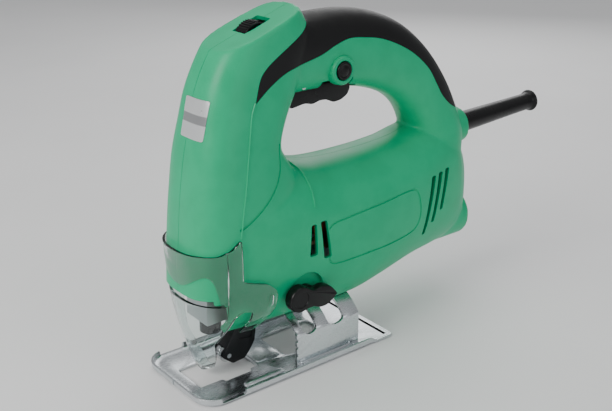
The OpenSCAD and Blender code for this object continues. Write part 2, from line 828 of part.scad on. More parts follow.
module trigger_pin() {
    color(steel) translate(trigger_pivot) rotate([90, 0, 0])
        cylinder(r = 1.5, h = 26, center = true, $fn = fine);
}

module trigger_spring() {
    color(steel) translate([96, 0, 171.1]) spring(2.6, 0.7, 5, 2.3);
}

module lock_button() {
    color(black) translate(lock_pos) rotate([90, 0, 0]) {
        translate([0, 0, 7]) cylinder(d = lock_d, h = 13.4, $fn = fine);
        cylinder(d = 4, h = 7.1, $fn = fine);
    }
}

module lock_spring() {
    color(steel) translate([lock_pos[0], -6.6, lock_pos[2]]) rotate([90, 0, 0])
        translate([0, 0, -4.4]) spring(2.9, 0.6, 4, 1.3);
}

module speed_module() {
    color([0.1, 0.3, 0.2]) translate([24, -9, 184]) cube([26, 18, 8]);
}

module at_dial() {
    translate(dial_pos) rotate([90, 0, 0]) children();
}

module dial_pin() {
    color(steel) at_dial() cylinder(d = 3, h = 22, center = true, $fn = fine);
}

module speed_dial() {
    color(black) at_dial() difference() {
        cylinder(d = dial_d, h = 10, center = true, $fn = fine);
        cylinder(d = 3.1, h = 20, center = true, $fn = fine);
        for (i = [0 : 35]) rotate([0, 0, 10 * i]) translate([dial_d / 2, 0, 0])
            cylinder(d = 0.8, h = 20, center = true, $fn = 16);
    }
}

// Knob with one round and one pointed lobe
module orbit_lever() {
    color(black) translate([orbit_pos[0], 0, orbit_pos[2]]) rotate([90, 0, 0]) {
        translate([0, 0, 31.4]) rotate([0, 0, -8]) linear_extrude(height = 6) union() {
            translate([-9, 0]) circle(r = 8.4, $fn = fine);
            polygon([[-9, 8], [0, 5], [8, 7], [14, 5], [19, 0], [14, -6], [7, -7.6], [0, -6.4],
                     [-9, -8.2]]);
        }
        translate([0, 0, 27.8]) cylinder(r = 6, h = 3.7, $fn = fine);
    }
}

module orbit_shaft() {
    color(steel) translate([orbit_pos[0], -27.8, orbit_pos[2]]) rotate([-90, 0, 0]) difference() {
        cylinder(r = 4, h = 20, $fn = fine);
        translate([0, -5, 12]) cube([10, 10, 20]);
    }
}

// ---------- blade support ----------

arm_line = [[19, 50], [31, 50], [31, 40], [30, 26], [28.6, 15], [25, 9.5], [21, 5], [12, 4.2],
            [5, 10], [5.5, 12.5], [12, 24], [18, 36]];

module roller_arm() {
    color(black) difference() {
        rotate([90, 0, 0]) linear_extrude(height = 11, center = true) polygon(arm_line);
        translate(arm_pivot) rotate([90, 0, 0]) cylinder(r = 2.55, h = 30, center = true, $fn = fine);
        // fork that holds the roller
        translate(roller_pos) rotate([90, 0, 0]) cylinder(r = roller_r + 0.8, h = 6.4, center = true, $fn = fine);
        translate([0, -3.2, 4]) cube([9, 6.4, 12]);
        translate(roller_pos) rotate([90, 0, 0]) cylinder(r = 1.5, h = 30, center = true, $fn = fine);
    }
}

module arm_pin() {
    color(steel) translate(arm_pivot) rotate([90, 0, 0]) cylinder(r = 2.5, h = 25, center = true, $fn = fine);
}

module roller() {
    color(steel) translate(roller_pos) rotate([90, 0, 0]) difference() {
        cylinder(r = roller_r, h = 5.8, center = true, $fn = fine);
        cylinder(r = 1.55, h = 20, center = true, $fn = fine);
        rotate_extrude($fn = fine) translate([roller_r, 0]) circle(r = 0.8, $fn = 16);
    }
}

module roller_pin() {
    color(steel) translate(roller_pos) rotate([90, 0, 0]) cylinder(r = 1.5, h = 11, center = true, $fn = fine);
}

module suppression_capacitor() {
    color([0.75, 0.6, 0.2]) translate([158, -8, 104]) cube([14, 16, 10]);
}

housing_left();
housing_right();
handle_grip();
label_plate();
housing_screws();
dust_socket();
cord_guard();
cord_clamp();
cord_clamp_screws();
base_plate();
bevel_bracket();
bracket_rivets();
bevel_clamp_plate();
bevel_clamp_screw();
chip_guard();
gear_case();
gear_case_screws();
plunger_bushes();
plunger();
yoke();
blade_clamp();
blade_clamp_screws();
drive_gear();
gear_pin();
crank_pin();
armature_shaft();
armature_core();
armature_windings();
commutator();
fan();
front_bearing();
rear_bearing();
stator_core();
field_coils();
brush_holders();
carbon_brushes();
brush_springs();
switch_body();
trigger();
trigger_pin();
trigger_spring();
lock_button();
lock_spring();
speed_module();
dial_pin();
speed_dial();
orbit_lever();
orbit_shaft();
roller_arm();
arm_pin();
roller();
roller_pin();
suppression_capacitor();
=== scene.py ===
"""Looks of the jigsaw: surfaces, finishes, stage and camera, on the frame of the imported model.

Sizes are in millimetres in the row frame (sole at z = 0, front at -x) and become metres in
make_object().
"""

import json
import logging
import math
from dataclasses import dataclass, field
from enum import Enum

import bmesh
import bpy
import numpy as np
from mathutils import Matrix, Vector
from mathutils.bvhtree import BVHTree


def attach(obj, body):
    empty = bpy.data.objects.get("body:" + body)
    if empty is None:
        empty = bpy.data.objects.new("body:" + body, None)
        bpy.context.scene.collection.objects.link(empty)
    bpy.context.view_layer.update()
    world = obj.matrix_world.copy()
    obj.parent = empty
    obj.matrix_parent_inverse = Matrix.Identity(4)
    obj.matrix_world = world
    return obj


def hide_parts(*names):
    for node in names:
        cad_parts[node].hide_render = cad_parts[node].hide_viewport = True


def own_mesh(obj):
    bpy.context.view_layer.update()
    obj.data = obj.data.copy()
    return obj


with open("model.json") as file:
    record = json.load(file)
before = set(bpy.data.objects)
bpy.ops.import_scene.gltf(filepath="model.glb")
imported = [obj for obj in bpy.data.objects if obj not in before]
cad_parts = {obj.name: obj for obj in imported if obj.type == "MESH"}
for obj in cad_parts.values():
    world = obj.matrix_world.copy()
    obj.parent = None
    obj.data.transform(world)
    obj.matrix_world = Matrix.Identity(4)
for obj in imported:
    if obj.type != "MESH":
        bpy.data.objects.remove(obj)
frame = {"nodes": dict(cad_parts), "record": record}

LOG = logging.getLogger("jigsaw")
MM = 0.001
Point = tuple[float, float, float]
Table = list[tuple[float, float]]


# ---------------------------------------------------------------- curves


def spline(table: Table, t: float) -> float:
    """Catmull-Rom value of a table.

    Args:
        table: rows of (parameter, value) in rising order.
        t: where to read it; held at both ends.

    Returns:
        The smooth value at t.
    """
    last = len(table) - 1
    i = max([k for k in range(last) if t >= table[k][0]] or [0])
    (x1, y1), (x2, y2) = table[i], table[i + 1]
    x0, y0 = table[max(i - 1, 0)]
    x3, y3 = table[min(i + 2, last)]
    h = x2 - x1
    u = min(max((t - x1) / h, 0.0), 1.0)
    m1 = (y2 - y0) / (x2 - x0) * h
    m2 = (y3 - y1) / (x3 - x1) * h
    return (
        (2 * u**3 - 3 * u**2 + 1) * y1
        + (u**3 - 2 * u**2 + u) * m1
        + (3 * u**2 - 2 * u**3) * y2
        + (u**3 - u**2) * m2
    )


def superellipse(a: float, b: float, power: float, count: int) -> list[tuple[float, float]]:
    """Points of a superellipse.

    Args:
        a: half size along the first axis.
        b: half size along the second axis.
        power: 2 gives an ellipse, more gives squarer corners.
        count: number of points.

    Returns:
        The points, anticlockwise.
    """
    points = []
    for j in range(count):
        angle = 2 * math.pi * j / count
        c, s = math.cos(angle), math.sin(angle)
        x = a * math.copysign(abs(c) ** (2 / power), c)
        y = b * math.copysign(abs(s) ** (2 / power), s)
        points.append((x, y))
    return points


def smooth_path(points: list[Point], steps: int = 8) -> list[Point]:
    """Catmull-Rom curve through 3-D points.

    Args:
        points: the points to pass through.
        steps: pieces between two points.

    Returns:
        The points of the curve.
    """
    rows = [np.array(p, dtype=float) for p in points]
    out = []
    for i in range(len(rows) - 1):
        p0, p1 = rows[max(i - 1, 0)], rows[i]
        p2, p3 = rows[i + 1], rows[min(i + 2, len(rows) - 1)]
        for k in range(steps):
            u = k / steps
            out.append(
                0.5 * (2 * p1 + (p2 - p0) * u + (2 * p0 - 5 * p1 + 4 * p2 - p3) * u**2
                       + (3 * p1 - p0 - 3 * p2 + p3) * u**3)
            )
    out.append(rows[-1])
    return [tuple(p) for p in out]


def round_corners(points: list[tuple[float, float]], radius: float, steps: int = 5):
    """Closed outline with its corners rounded.

    Args:
        points: the sharp outline.
        radius: length taken off each side of a corner.
        steps: pieces of each rounding.

    Returns:
        The outline with a short curve at every corner.
    """
    out = []
    n = len(points)
    for i in range(n):
        p0, p1, p2 = (np.array(points[(i + k) % n], dtype=float) for k in (-1, 0, 1))
        d0, d2 = p0 - p1, p2 - p1
        l0, l2 = np.linalg.norm(d0), np.linalg.norm(d2)
        r = min(radius, 0.45 * l0, 0.45 * l2)
        a, b = p1 + d0 / l0 * r, p1 + d2 / l2 * r
        for k in range(steps + 1):
            u = k / steps
            out.append(tuple((1 - u) ** 2 * a + 2 * u * (1 - u) * p1 + u**2 * b))
    return out


# ---------------------------------------------------------------- meshes


def make_object(name: str, verts, faces) -> bpy.types.Object:
    """New mesh object at the origin.

    Args:
        name: object and mesh name.
        verts: corners in millimetres.
        faces: corner numbers of each face.

    Returns:
        The object, linked to the scene, normals outward.
    """
    mesh = bpy.data.meshes.new(name)
    mesh.from_pydata([tuple(c * MM for c in v) for v in verts], [], faces)
    bm = bmesh.new()
    bm.from_mesh(mesh)
    bmesh.ops.recalc_face_normals(bm, faces=bm.faces)
    bm.to_mesh(mesh)
    bm.free()
    obj = bpy.data.objects.new(name, mesh)
    bpy.context.scene.collection.objects.link(obj)
    return obj


def skin(name: str, rings: list[list[Point]]) -> bpy.types.Object:
    """Closed solid through a row of closed rings with equal point counts.

    Args:
        name: object name.
        rings: closed rings of equal point count, in millimetres.

    Returns:
        The object.
    """
    n = len(rings[0])
    verts = [p for ring in rings for p in ring]
    faces = [
        (n * i + j, n * i + (j + 1) % n, n * (i + 1) + (j + 1) % n, n * (i + 1) + j)
        for i in range(len(rings) - 1)
        for j in range(n)
    ]
    faces.append(tuple(reversed(range(n))))
    faces.append(tuple(range(n * (len(rings) - 1), n * len(rings))))
    return make_object(name, verts, faces)


def prism_y(name: str, outline: Table, y0: float, y1: float) -> bpy.types.Object:
    """Outline in x and z, drawn out along y.

    Args:
        name: object name.
        outline: closed outline, in millimetres.
        y0: first end.
        y1: second end.

    Returns:
        The object.
    """
    return skin(name, [[(x, y, z) for x, z in outline] for y in (y0, y1)])


def prism_z(name: str, outline: Table, z0: float, z1: float) -> bpy.types.Object:
    """Outline in x and y, drawn out along z.

    Args:
        name: object name.
        outline: closed outline, in millimetres.
        z0: first end.
        z1: second end.

    Returns:
        The object.
    """
    return skin(name, [[(x, y, z) for x, y in outline] for z in (z0, z1)])


def block(name: str, low: Point, high: Point) -> bpy.types.Object:
    """Box between two corners.

    Args:
        name: object name.
        low: lower corner.
        high: upper corner.

    Returns:
        The object.
    """
    (x0, y0, z0), (x1, y1, z1) = low, high
    return prism_z(name, [(x0, y0), (x1, y0), (x1, y1), (x0, y1)], z0, z1)


def lathe(name: str, profile, place: Matrix, count: int = 64) -> bpy.types.Object:
    """Solid of revolution.

    Args:
        name: object name.
        profile: (radius, height) rows along the axis; both ends are closed.
        place: matrix that takes the local z axis to where the solid stands, in millimetres.
        count: points of each ring.

    Returns:
        The solid.
    """
    rings = []
    for r, h in profile:
        rings.append([
            tuple(place @ Vector((r * math.cos(2 * math.pi * j / count),
                                  r * math.sin(2 * math.pi * j / count), h)))
            for j in range(count)
        ])
    return skin(name, rings)


def facing(position: Point, direction: Point) -> Matrix:
    """Matrix that puts the local z axis at a position, along a direction.

    Args:
        position: the point, in millimetres.
        direction: the direction.

    Returns:
        The matrix.
    """
    turn = Vector((0, 0, 1)).rotation_difference(Vector(direction).normalized())
    return Matrix.Translation(Vector(position)) @ turn.to_matrix().to_4x4()


def tube(name: str, path: list[Point], radius: float, count: int = 10) -> bpy.types.Object:
    """Round tube of one radius along a path, closed at both ends.

    Args:
        name: object name.
        path: centre line, in millimetres.
        radius: radius in millimetres.
        count: points round the tube.

    Returns:
        The object.
    """
    rings = []
    points = [Vector(p) for p in path]
    side = Vector((0, 0, 1))
    for i, p in enumerate(points):
        along = (points[min(i + 1, len(points) - 1)] - points[max(i - 1, 0)]).normalized()
        side = (side - along * side.dot(along)).normalized()
        other = along.cross(side)
        rings.append([
            tuple(p + radius * (side * math.cos(a) + other * math.sin(a)))
            for a in (2 * math.pi * j / count for j in range(count))
        ])
    return skin(name, rings)


def drop(obj: bpy.types.Object) -> None:
    """Removes a helper object and its mesh.

    Args:
        obj: the helper object.
    """
    mesh = obj.data
    bpy.data.objects.remove(obj)
    if mesh.users == 0:
        bpy.data.meshes.remove(mesh)


def bake(obj: bpy.types.Object) -> bpy.types.Object:
    """Applies every modifier of an object.

    Args:
        obj: the object.

    Returns:
        The object.
    """
    graph = bpy.context.evaluated_depsgraph_get()
    mesh = bpy.data.meshes.new_from_object(obj.evaluated_get(graph))
    old = obj.data
    obj.modifiers.clear()
    obj.data = mesh
    if old.users == 0:
        bpy.data.meshes.remove(old)
    return obj


class Cut(Enum):
    """What a boolean keeps."""

    MINUS = "DIFFERENCE"
    PLUS = "UNION"
    COMMON = "INTERSECT"


def combine(obj: bpy.types.Object, other: bpy.types.Object, how: Cut, keep: bool = False):
    """Boolean of two closed meshes.

    Args:
        obj: the mesh that is changed.
        other: the second mesh.
        how: which part stays.
        keep: leaves the second mesh in the scene.

    Returns:
        obj.
    """
    modifier = obj.modifiers.new("cut", "BOOLEAN")
    modifier.operation = how.value
    modifier.solver = "MANIFOLD"
    modifier.object = other
    bake(obj)
    if len(obj.data.polygons) == 0:
        LOG.warning("%s: nothing left after %s with %s", obj.name, how, other.name)
    if not keep:
        drop(other)
    return obj


def copy_of(obj: bpy.types.Object, name: str) -> bpy.types.Object:
    """Copy of an object with a mesh of its own.

    Args:
        obj: the object.
        name: object name.

    Returns:
        The object.
    """
    twin = bpy.data.objects.new(name, obj.data.copy())
    bpy.context.scene.collection.objects.link(twin)
    return twin


def merge(name: str, parts: list[bpy.types.Object]) -> bpy.types.Object:
    """One object from several, without joining their surfaces.

    Args:
        name: object name.
        parts: the objects to join.

    Returns:
        The object.
    """
    bm = bmesh.new()
    for part in parts:
        bm.from_mesh(part.data)
    mesh = bpy.data.meshes.new(name)
    bm.to_mesh(mesh)
    bm.free()
    for part in parts:
        drop(part)
    obj = bpy.data.objects.new(name, mesh)
    bpy.context.scene.collection.objects.link(obj)
    return obj


def remesh(obj: bpy.types.Object, voxel: float, rounds: int) -> bpy.types.Object:
    """Melts overlapping solids into one even skin and rounds its inner corners.

    Args:
        obj: the closed solids.
        voxel: size of the new faces in millimetres.
        rounds: smoothing rounds, more give larger fillets.

    Returns:
        obj.
    """
    modifier = obj.modifiers.new("melt", "REMESH")
    modifier.mode = "VOXEL"
    modifier.voxel_size = voxel * MM
    if rounds:
        modifier = obj.modifiers.new("relax", "SMOOTH")
        modifier.factor = 0.5
        modifier.iterations = rounds
    return bake(obj)


def bevel(obj: bpy.types.Object, width: float, segments: int = 3, angle: float = 35.0):
    """Rounds the sharp edges of a clean mesh.

    Args:
        obj: the object.
        width: width in millimetres.
        segments: steps across the edge.
        angle: edges sharper than this, in degrees.

    Returns:
        The object.
    """
    modifier = obj.modifiers.new("round", "BEVEL")
    modifier.width = width * MM
    modifier.segments = segments
    modifier.limit_method = "ANGLE"
    modifier.angle_limit = math.radians(angle)
    modifier.use_clamp_overlap = True
    return bake(obj)


def shade(obj: bpy.types.Object, angle: float = 32.0) -> bpy.types.Object:
    """Smooth shading with edges sharper than the angle kept.

    Args:
        obj: the object.
        angle: edges sharper than this, in degrees.

    Returns:
        The object.
    """
    mesh = obj.data
    mesh.polygons.foreach_set("use_smooth", [True] * len(mesh.polygons))
    mesh.set_sharp_from_angle(angle=math.radians(angle))
    return obj


def paint(obj: bpy.types.Object, *materials: bpy.types.Material) -> bpy.types.Object:
    """Gives an object its materials.

    Args:
        obj: the object.

    Returns:
        The object.
    """
    obj.data.materials.clear()
    for material in materials:
        obj.data.materials.append(material)
    return obj


def place_piece(obj, mats: dict, slot: str, body: str, node: str, angle: float = 32.0):
    """Shades and paints a finished piece and hands it to the frame.

    Args:
        obj: the piece, in place.
        mats: materials by slot.
        slot: the material slot of the record.
        body: the body that it rides on.
        node: the node that it stands for.
        angle: edges sharper than this stay sharp, in degrees.

    Returns:
        obj.
    """
    paint(shade(obj, angle), mats[slot])
    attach(obj, body)
    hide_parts(node)
    LOG.info("%s: %d faces on %s", obj.name, len(obj.data.polygons), body)
    return obj


# ---------------------------------------------------------------- finishes


class Graph:
    """Short way to add and link nodes of one tree."""

    def __init__(self, tree: bpy.types.NodeTree) -> None:
        """Args:
            tree: the node tree to build in.
        """
        self.tree = tree

    def add(self, kind: str, inputs: dict | None = None, **settings):
        """New node.

        Args:
            kind: the node's type name.
            inputs: values or output sockets by input name or number.
            settings: properties of the node.

        Returns:
            The node.
        """
        node = self.tree.nodes.new(kind)
        for key, value in settings.items():
            setattr(node, key, value)
        for key, value in (inputs or {}).items():
            if isinstance(value, bpy.types.NodeSocket):
                self.tree.links.new(value, node.inputs[key])
            else:
                node.inputs[key].default_value = value
        return node

    def maths(self, operation: str, a, b=0.0, clamp: bool = False):
        """Output socket of a Math node.

        Args:
            operation: name of the operation.
            a: first value or socket.
            b: second value or socket.
            clamp: keeps the result between 0 and 1.

        Returns:
            The output socket.
        """
        node = self.add("ShaderNodeMath", {0: a, 1: b}, operation=operation, use_clamp=clamp)
        return node.outputs[0]

    def noise(self, vector, scale: float, detail: float = 3.0, roughness: float = 0.55):
        """Output value of a noise texture.

        Args:
            vector: socket of the position.
            scale: scale of the texture.
            detail: detail of the texture.
            roughness: roughness of the texture.

        Returns:
            The output socket.
        """
        values = {"Vector": vector, "Scale": scale, "Detail": detail, "Roughness": roughness}
        return self.add("ShaderNodeTexNoise", values).outputs[0]

    def ramp(self, value, low: float, high: float, to_low: float = 0.0, to_high: float = 1.0):
        """Value moved smoothly from one range to another.

        Args:
            value: the value.
            low: start of the source range.
            high: end of the source range.
            to_low: start of the new range.
            to_high: end of the new range.

        Returns:
            The output socket.
        """
        inputs = {"Value": value, "From Min": low, "From Max": high,
                  "To Min": to_low, "To Max": to_high}
        node = self.add("ShaderNodeMapRange", inputs, interpolation_type="SMOOTHSTEP")
        return node.outputs[0]

    def mix(self, factor, a, b):
        """Colour between two colours.

        Args:
            factor: share of the second colour.
            a: first value or socket.
            b: second value or socket.

        Returns:
            The output socket.
        """
        node = self.add("ShaderNodeMix", {0: factor, 6: a, 7: b}, data_type="RGBA")
        return node.outputs[2]

    def surface(self, inputs: dict) -> None:
        """Adds the material's shader and its output.

        Args:
            inputs: values or output sockets by input name of the shader.
        """
        shader = self.add("ShaderNodeBsdfPrincipled", inputs)
        self.add("ShaderNodeOutputMaterial", {"Surface": shader.outputs[0]})


def new_group(name: str, inputs: dict[str, float], outputs: dict[str, str]):
    """Empty shader group.

    Args:
        name: the group's name.
        inputs: number inputs with their defaults.
        outputs: output names and socket types.

    Returns:
        (tree, graph, group input node, group output node).
    """
    tree = bpy.data.node_groups.new(name, "ShaderNodeTree")
    for key, value in inputs.items():
        socket = tree.interface.new_socket(key, in_out="INPUT", socket_type="NodeSocketFloat")
        socket.default_value = value
    for key, kind in outputs.items():
        tree.interface.new_socket(key, in_out="OUTPUT", socket_type=kind)
    graph = Graph(tree)
    return tree, graph, graph.add("NodeGroupInput"), graph.add("NodeGroupOutput")


def make_grain_group() -> bpy.types.NodeTree:
    """Moulded or cast grain: a bumped normal and a mottle value.

    Returns:
        The node group.
    """
    tree, g, given, result = new_group(
        "surface grain",
        {"Fine Scale": 2200.0, "Coarse Scale": 60.0, "Depth": 0.1},
        {"Normal": "NodeSocketVector", "Mottle": "NodeSocketFloat"},
    )
    where = g.add("ShaderNodeTexCoord").outputs["Object"]
    fine = g.noise(where, 1.0, 2.0)
    fine.node.inputs["Scale"].default_value = 1.0
    tree.links.new(given.outputs["Fine Scale"], fine.node.inputs["Scale"])
    coarse = g.noise(where, 1.0, 4.0)
    tree.links.new(given.outputs["Coarse Scale"], coarse.node.inputs["Scale"])
    height = g.maths("ADD", fine, g.maths("MULTIPLY", coarse, 0.6))
    bump = g.add("ShaderNodeBump", {"Height": height, "Distance": 0.0002})
    tree.links.new(given.outputs["Depth"], bump.inputs["Strength"])
    tree.links.new(bump.outputs["Normal"], result.inputs["Normal"])
    tree.links.new(coarse, result.inputs["Mottle"])
    return tree


def make_wear_group() -> bpy.types.NodeTree:
    """Mask of rubbed outer edges, broken up by noise.

    Returns:
        The node group.
    """
    tree, g, given, result = new_group(
        "edge wear", {"Reach": 0.0008, "Break Up": 260.0}, {"Mask": "NodeSocketFloat"}
    )
    where = g.add("ShaderNodeTexCoord").outputs["Object"]
    rounded = g.add("ShaderNodeBevel", samples=4)
    tree.links.new(given.outputs["Reach"], rounded.inputs["Radius"])
    plain = g.add("ShaderNodeNewGeometry").outputs["Normal"]
    dot = g.add("ShaderNodeVectorMath", {0: rounded.outputs[0], 1: plain},
                operation="DOT_PRODUCT").outputs["Value"]
    edge = g.ramp(dot, 0.995, 0.86)
    patch = g.noise(where, 1.0, 3.0)
    tree.links.new(given.outputs["Break Up"], patch.node.inputs["Scale"])
    mask = g.maths("MULTIPLY", edge, g.ramp(patch, 0.38, 0.62), clamp=True)
    tree.links.new(mask, result.inputs["Mask"])
    return tree


def make_dust_group() -> bpy.types.NodeTree:
    """Mask of fine dust on faces that look upwards.

    Returns:
        The node group.
    """
    tree, g, given, result = new_group(
        "settled dust", {"Amount": 0.2, "Patch Scale": 35.0}, {"Mask": "NodeSocketFloat"}
    )
    where = g.add("ShaderNodeTexCoord").outputs["Object"]
    normal = g.add("ShaderNodeNewGeometry").outputs["Normal"]
    up = g.add("ShaderNodeSeparateXYZ", {0: normal}).outputs["Z"]
    patch = g.noise(where, 1.0, 5.0, 0.65)
    tree.links.new(given.outputs["Patch Scale"], patch.node.inputs["Scale"])
    specks = g.ramp(g.noise(where, 1500.0, 2.0), 0.52, 0.72)
    mask = g.maths("MULTIPLY", g.ramp(up, 0.25, 0.95), g.ramp(patch, 0.35, 0.75))
    mask = g.maths("MULTIPLY", mask, g.maths("ADD", 0.35, specks))
    mask = g.maths("MULTIPLY", mask, given.outputs["Amount"], clamp=True)
    tree.links.new(mask, result.inputs["Mask"])
    return tree


@dataclass(frozen=True)
class Shared:
    """The node groups that the finishes share."""

    grain: bpy.types.NodeTree
    wear: bpy.types.NodeTree
    dust: bpy.types.NodeTree


def open_material(name: str) -> tuple[bpy.types.Material, Graph]:
    """Empty material.

    Args:
        name: material name.

    Returns:
        The material and the helper that fills its tree.
    """
    material = bpy.data.materials.new(name)
    material.use_nodes = True
    material.node_tree.nodes.clear()
    return material, Graph(material.node_tree)


def worn_masks(g: Graph, shared: Shared, amount: float) -> tuple:
    """Masks of the rubbed edges and of the dust.

    Args:
        g: helper of the material's tree.
        shared: the shared node groups.
        amount: how much dust there is.

    Returns:
        The sockets of the edge mask and of the dust mask.
    """
    edge = g.add("ShaderNodeGroup", node_tree=shared.wear).outputs["Mask"]
    dust = g.add("ShaderNodeGroup", node_tree=shared.dust)
    dust.inputs["Amount"].default_value = amount
    return edge, dust.outputs["Mask"]


DUST_ON_PLASTIC = (0.62, 0.58, 0.52, 1)
DUST_ON_METAL = (0.6, 0.56, 0.5, 1)
DUST_ON_CLEAR = (0.8, 0.78, 0.74, 1)
RUBBED_FOIL = (0.75, 0.76, 0.77, 1)


@dataclass(frozen=True)
class Plastic:
    """Moulded plastic or rubber.

    Attributes:
        name: material name.
        colour: linear base colour.
        roughness: roughness between the edges.
        fine: scale of the moulded grain.
        depth: strength of the grain.
        coat: weight of the clear gloss over the colour.
        dust: how much dust shows on upward faces.
        wear: how much lighter the rubbed edges are.
    """

    name: str
    colour: Point
    roughness: float = 0.35
    fine: float = 2400.0
    depth: float = 0.12
    coat: float = 0.0
    dust: float = 0.08
    wear: float = 0.25

    def build(self, shared: Shared) -> bpy.types.Material:
        """Builds the material.

        Args:
            shared: the shared node groups.

        Returns:
            The material.
        """
        material, g = open_material(self.name)
        grain = g.add("ShaderNodeGroup", node_tree=shared.grain)
        grain.inputs["Fine Scale"].default_value = self.fine
        grain.inputs["Depth"].default_value = self.depth
        edge, dust = worn_masks(g, shared, self.dust)
        r, gr, b = self.colour
        dark = (r * 0.9, gr * 0.93, b * 0.92, 1)
        light = (min(r + 0.02, 1), min(gr * 1.15 + 0.03, 1), min(b * 1.15 + 0.03, 1), 1)
        mottle = g.ramp(grain.outputs["Mottle"], 0.35, 0.65)
        colour = g.mix(mottle, dark, (r, gr, b, 1))
        colour = g.mix(g.maths("MULTIPLY", edge, self.wear), colour, light)
        colour = g.mix(dust, colour, DUST_ON_PLASTIC)
        rough = g.maths("ADD", self.roughness, g.ramp(mottle, 0, 1, -0.03, 0.03))
        rough = g.maths("ADD", rough, g.maths("MULTIPLY", dust, 0.5))
        g.surface({
            "Base Color": colour, "Roughness": rough, "Normal": grain.outputs["Normal"],
            "Coat Weight": self.coat, "Coat Roughness": 0.18, "Specular IOR Level": 0.28,
        })
        return material


@dataclass(frozen=True)
class Metal:
    """Bare or plated metal with fine drawn lines.

    Attributes:
        name: material name.
        colour: linear base colour.
        roughness: mean roughness.
        lines: stretch of the rolling lines in x, y and z; smaller is longer.
        depth: strength of the lines.
        tint: colour of the stains or the plating's tint; on the zinc steel a darker greenish
            colour, painted reflection of the green housing.
        stain_and_reflection: how much of the tint shows, as cloudy stains and, on the zinc steel,
            as painted reflection.
    """

    name: str
    colour: Point
    roughness: float = 0.3
    lines: Point = (0.06, 1.0, 1.0)
    depth: float = 0.06
    tint: Point = (0.5, 0.55, 0.6)
    stain_and_reflection: float = 0.25

    def build(self, shared: Shared) -> bpy.types.Material:
        """Builds the material.

        Args:
            shared: the shared node groups.

        Returns:
            The material.
        """
        material, g = open_material(self.name)
        where = g.add("ShaderNodeTexCoord").outputs["Object"]
        drawn = g.add("ShaderNodeMapping", {"Vector": where, "Scale": self.lines})
        line = g.noise(drawn.outputs[0], 3500.0, 4.0, 0.7)
        cloud = g.noise(where, 45.0, 5.0, 0.6)
        edge, dust = worn_masks(g, shared, 0.06)
        # cloudy tint: real stains on most metals; on the zinc steel it is a painted dark greenish
        # reflection of the housing
        stain_and_reflection_mask = g.maths("MULTIPLY", g.ramp(cloud, 0.38, 0.7), self.stain_and_reflection)
        colour = g.mix(stain_and_reflection_mask, (*self.colour, 1), (*self.tint, 1))
        bright = tuple(min(c * 1.15 + 0.04, 1) for c in self.colour)
        colour = g.mix(g.maths("MULTIPLY", edge, 0.6), colour, (*bright, 1))
        colour = g.mix(dust, colour, DUST_ON_METAL)
        rough = g.maths("ADD", self.roughness, g.ramp(line, 0.3, 0.7, -0.06, 0.08))
        rough = g.maths("ADD", rough, g.maths("MULTIPLY", stain_and_reflection_mask, 0.25))
        rough = g.maths("SUBTRACT", rough, g.maths("MULTIPLY", edge, 0.08), clamp=True)
        bump = g.add("ShaderNodeBump",
                     {"Height": line, "Strength": self.depth, "Distance": 0.0002})
        g.surface({
            "Base Color": colour, "Metallic": 1.0, "Roughness": rough,
            "Normal": bump.outputs["Normal"],
        })
        return material


@dataclass(frozen=True)
class Clear:
    """Clear moulded polycarbonate with hairline scratches and a trace of dust.

    Attributes:
        name: material name.
        colour: tint seen through the wall.
        roughness: roughness of the clean surface.
    """

    name: str
    colour: Point = (0.80, 0.87, 0.86)
    roughness: float = 0.03

    def build(self, shared: Shared) -> bpy.types.Material:
        """Builds the material.

        Args:
            shared: the shared node groups.

        Returns:
            The material.
        """
        material, g = open_material(self.name)
        where = g.add("ShaderNodeTexCoord").outputs["Object"]
        turned = g.add("ShaderNodeMapping",
                       {"Vector": where, "Rotation": (0.3, 0.5, 0.2), "Scale": (1, 0.03, 1)})
        scratch = g.ramp(g.noise(turned.outputs[0], 1800.0, 2.0), 0.66, 0.74)
        wavy = g.noise(where, 70.0, 2.0)
        edge, dust = worn_masks(g, shared, 0.10)
        rough = g.maths("ADD", self.roughness, g.maths("MULTIPLY", scratch, 0.22))
        rough = g.maths("ADD", rough, g.maths("MULTIPLY", edge, 0.1))
        rough = g.maths("ADD", rough, g.maths("MULTIPLY", dust, 0.6), clamp=True)
        colour = g.mix(dust, (*self.colour, 1), DUST_ON_CLEAR)
        bump = g.add("ShaderNodeBump", {"Height": wavy, "Strength": 0.05, "Distance": 0.001})
        g.surface({
            "Base Color": colour, "Roughness": rough, "IOR": 1.49,
            "Transmission Weight": 1.0, "Normal": bump.outputs["Normal"],
        })
        return material


@dataclass(frozen=True)
class Banded:
    """Printed foil of the rating plate: a darker band across a pale field.

    Attributes:
        name: material name.
        band: lower and upper height of the band in millimetres.
        field_colour: linear colour of the field.
        band_colour: linear colour of the band.
    """

    name: str
    band: tuple[float, float]
    field_colour: Point
    band_colour: Point

    def build(self, shared: Shared) -> bpy.types.Material:
        """Builds the material.

        Args:
            shared: the shared node groups.

        Returns:
            The material.
        """
        material, g = open_material(self.name)
        where = g.add("ShaderNodeTexCoord").outputs["Object"]
        height = g.add("ShaderNodeSeparateXYZ", {0: where}).outputs["Z"]
        low, high = (z * MM for z in self.band)
        soft = 0.0003
        above = g.ramp(height, low - soft, low + soft)
        below = g.ramp(height, high + soft, high - soft)
        inside = g.maths("MULTIPLY", above, below)
        colour = g.mix(inside, (*self.field_colour, 1), (*self.band_colour, 1))
        grain = g.add("ShaderNodeGroup", node_tree=shared.grain)
        grain.inputs["Depth"].default_value = 0.05
        edge = g.add("ShaderNodeGroup", node_tree=shared.wear).outputs["Mask"]
        colour = g.mix(g.maths("MULTIPLY", edge, 0.4), colour, RUBBED_FOIL)
        rough = g.ramp(grain.outputs["Mottle"], 0.3, 0.7, 0.26, 0.38)
        g.surface({
            "Base Color": colour, "Metallic": 0.35, "Roughness": rough,
            "Normal": grain.outputs["Normal"],
        })
        return material


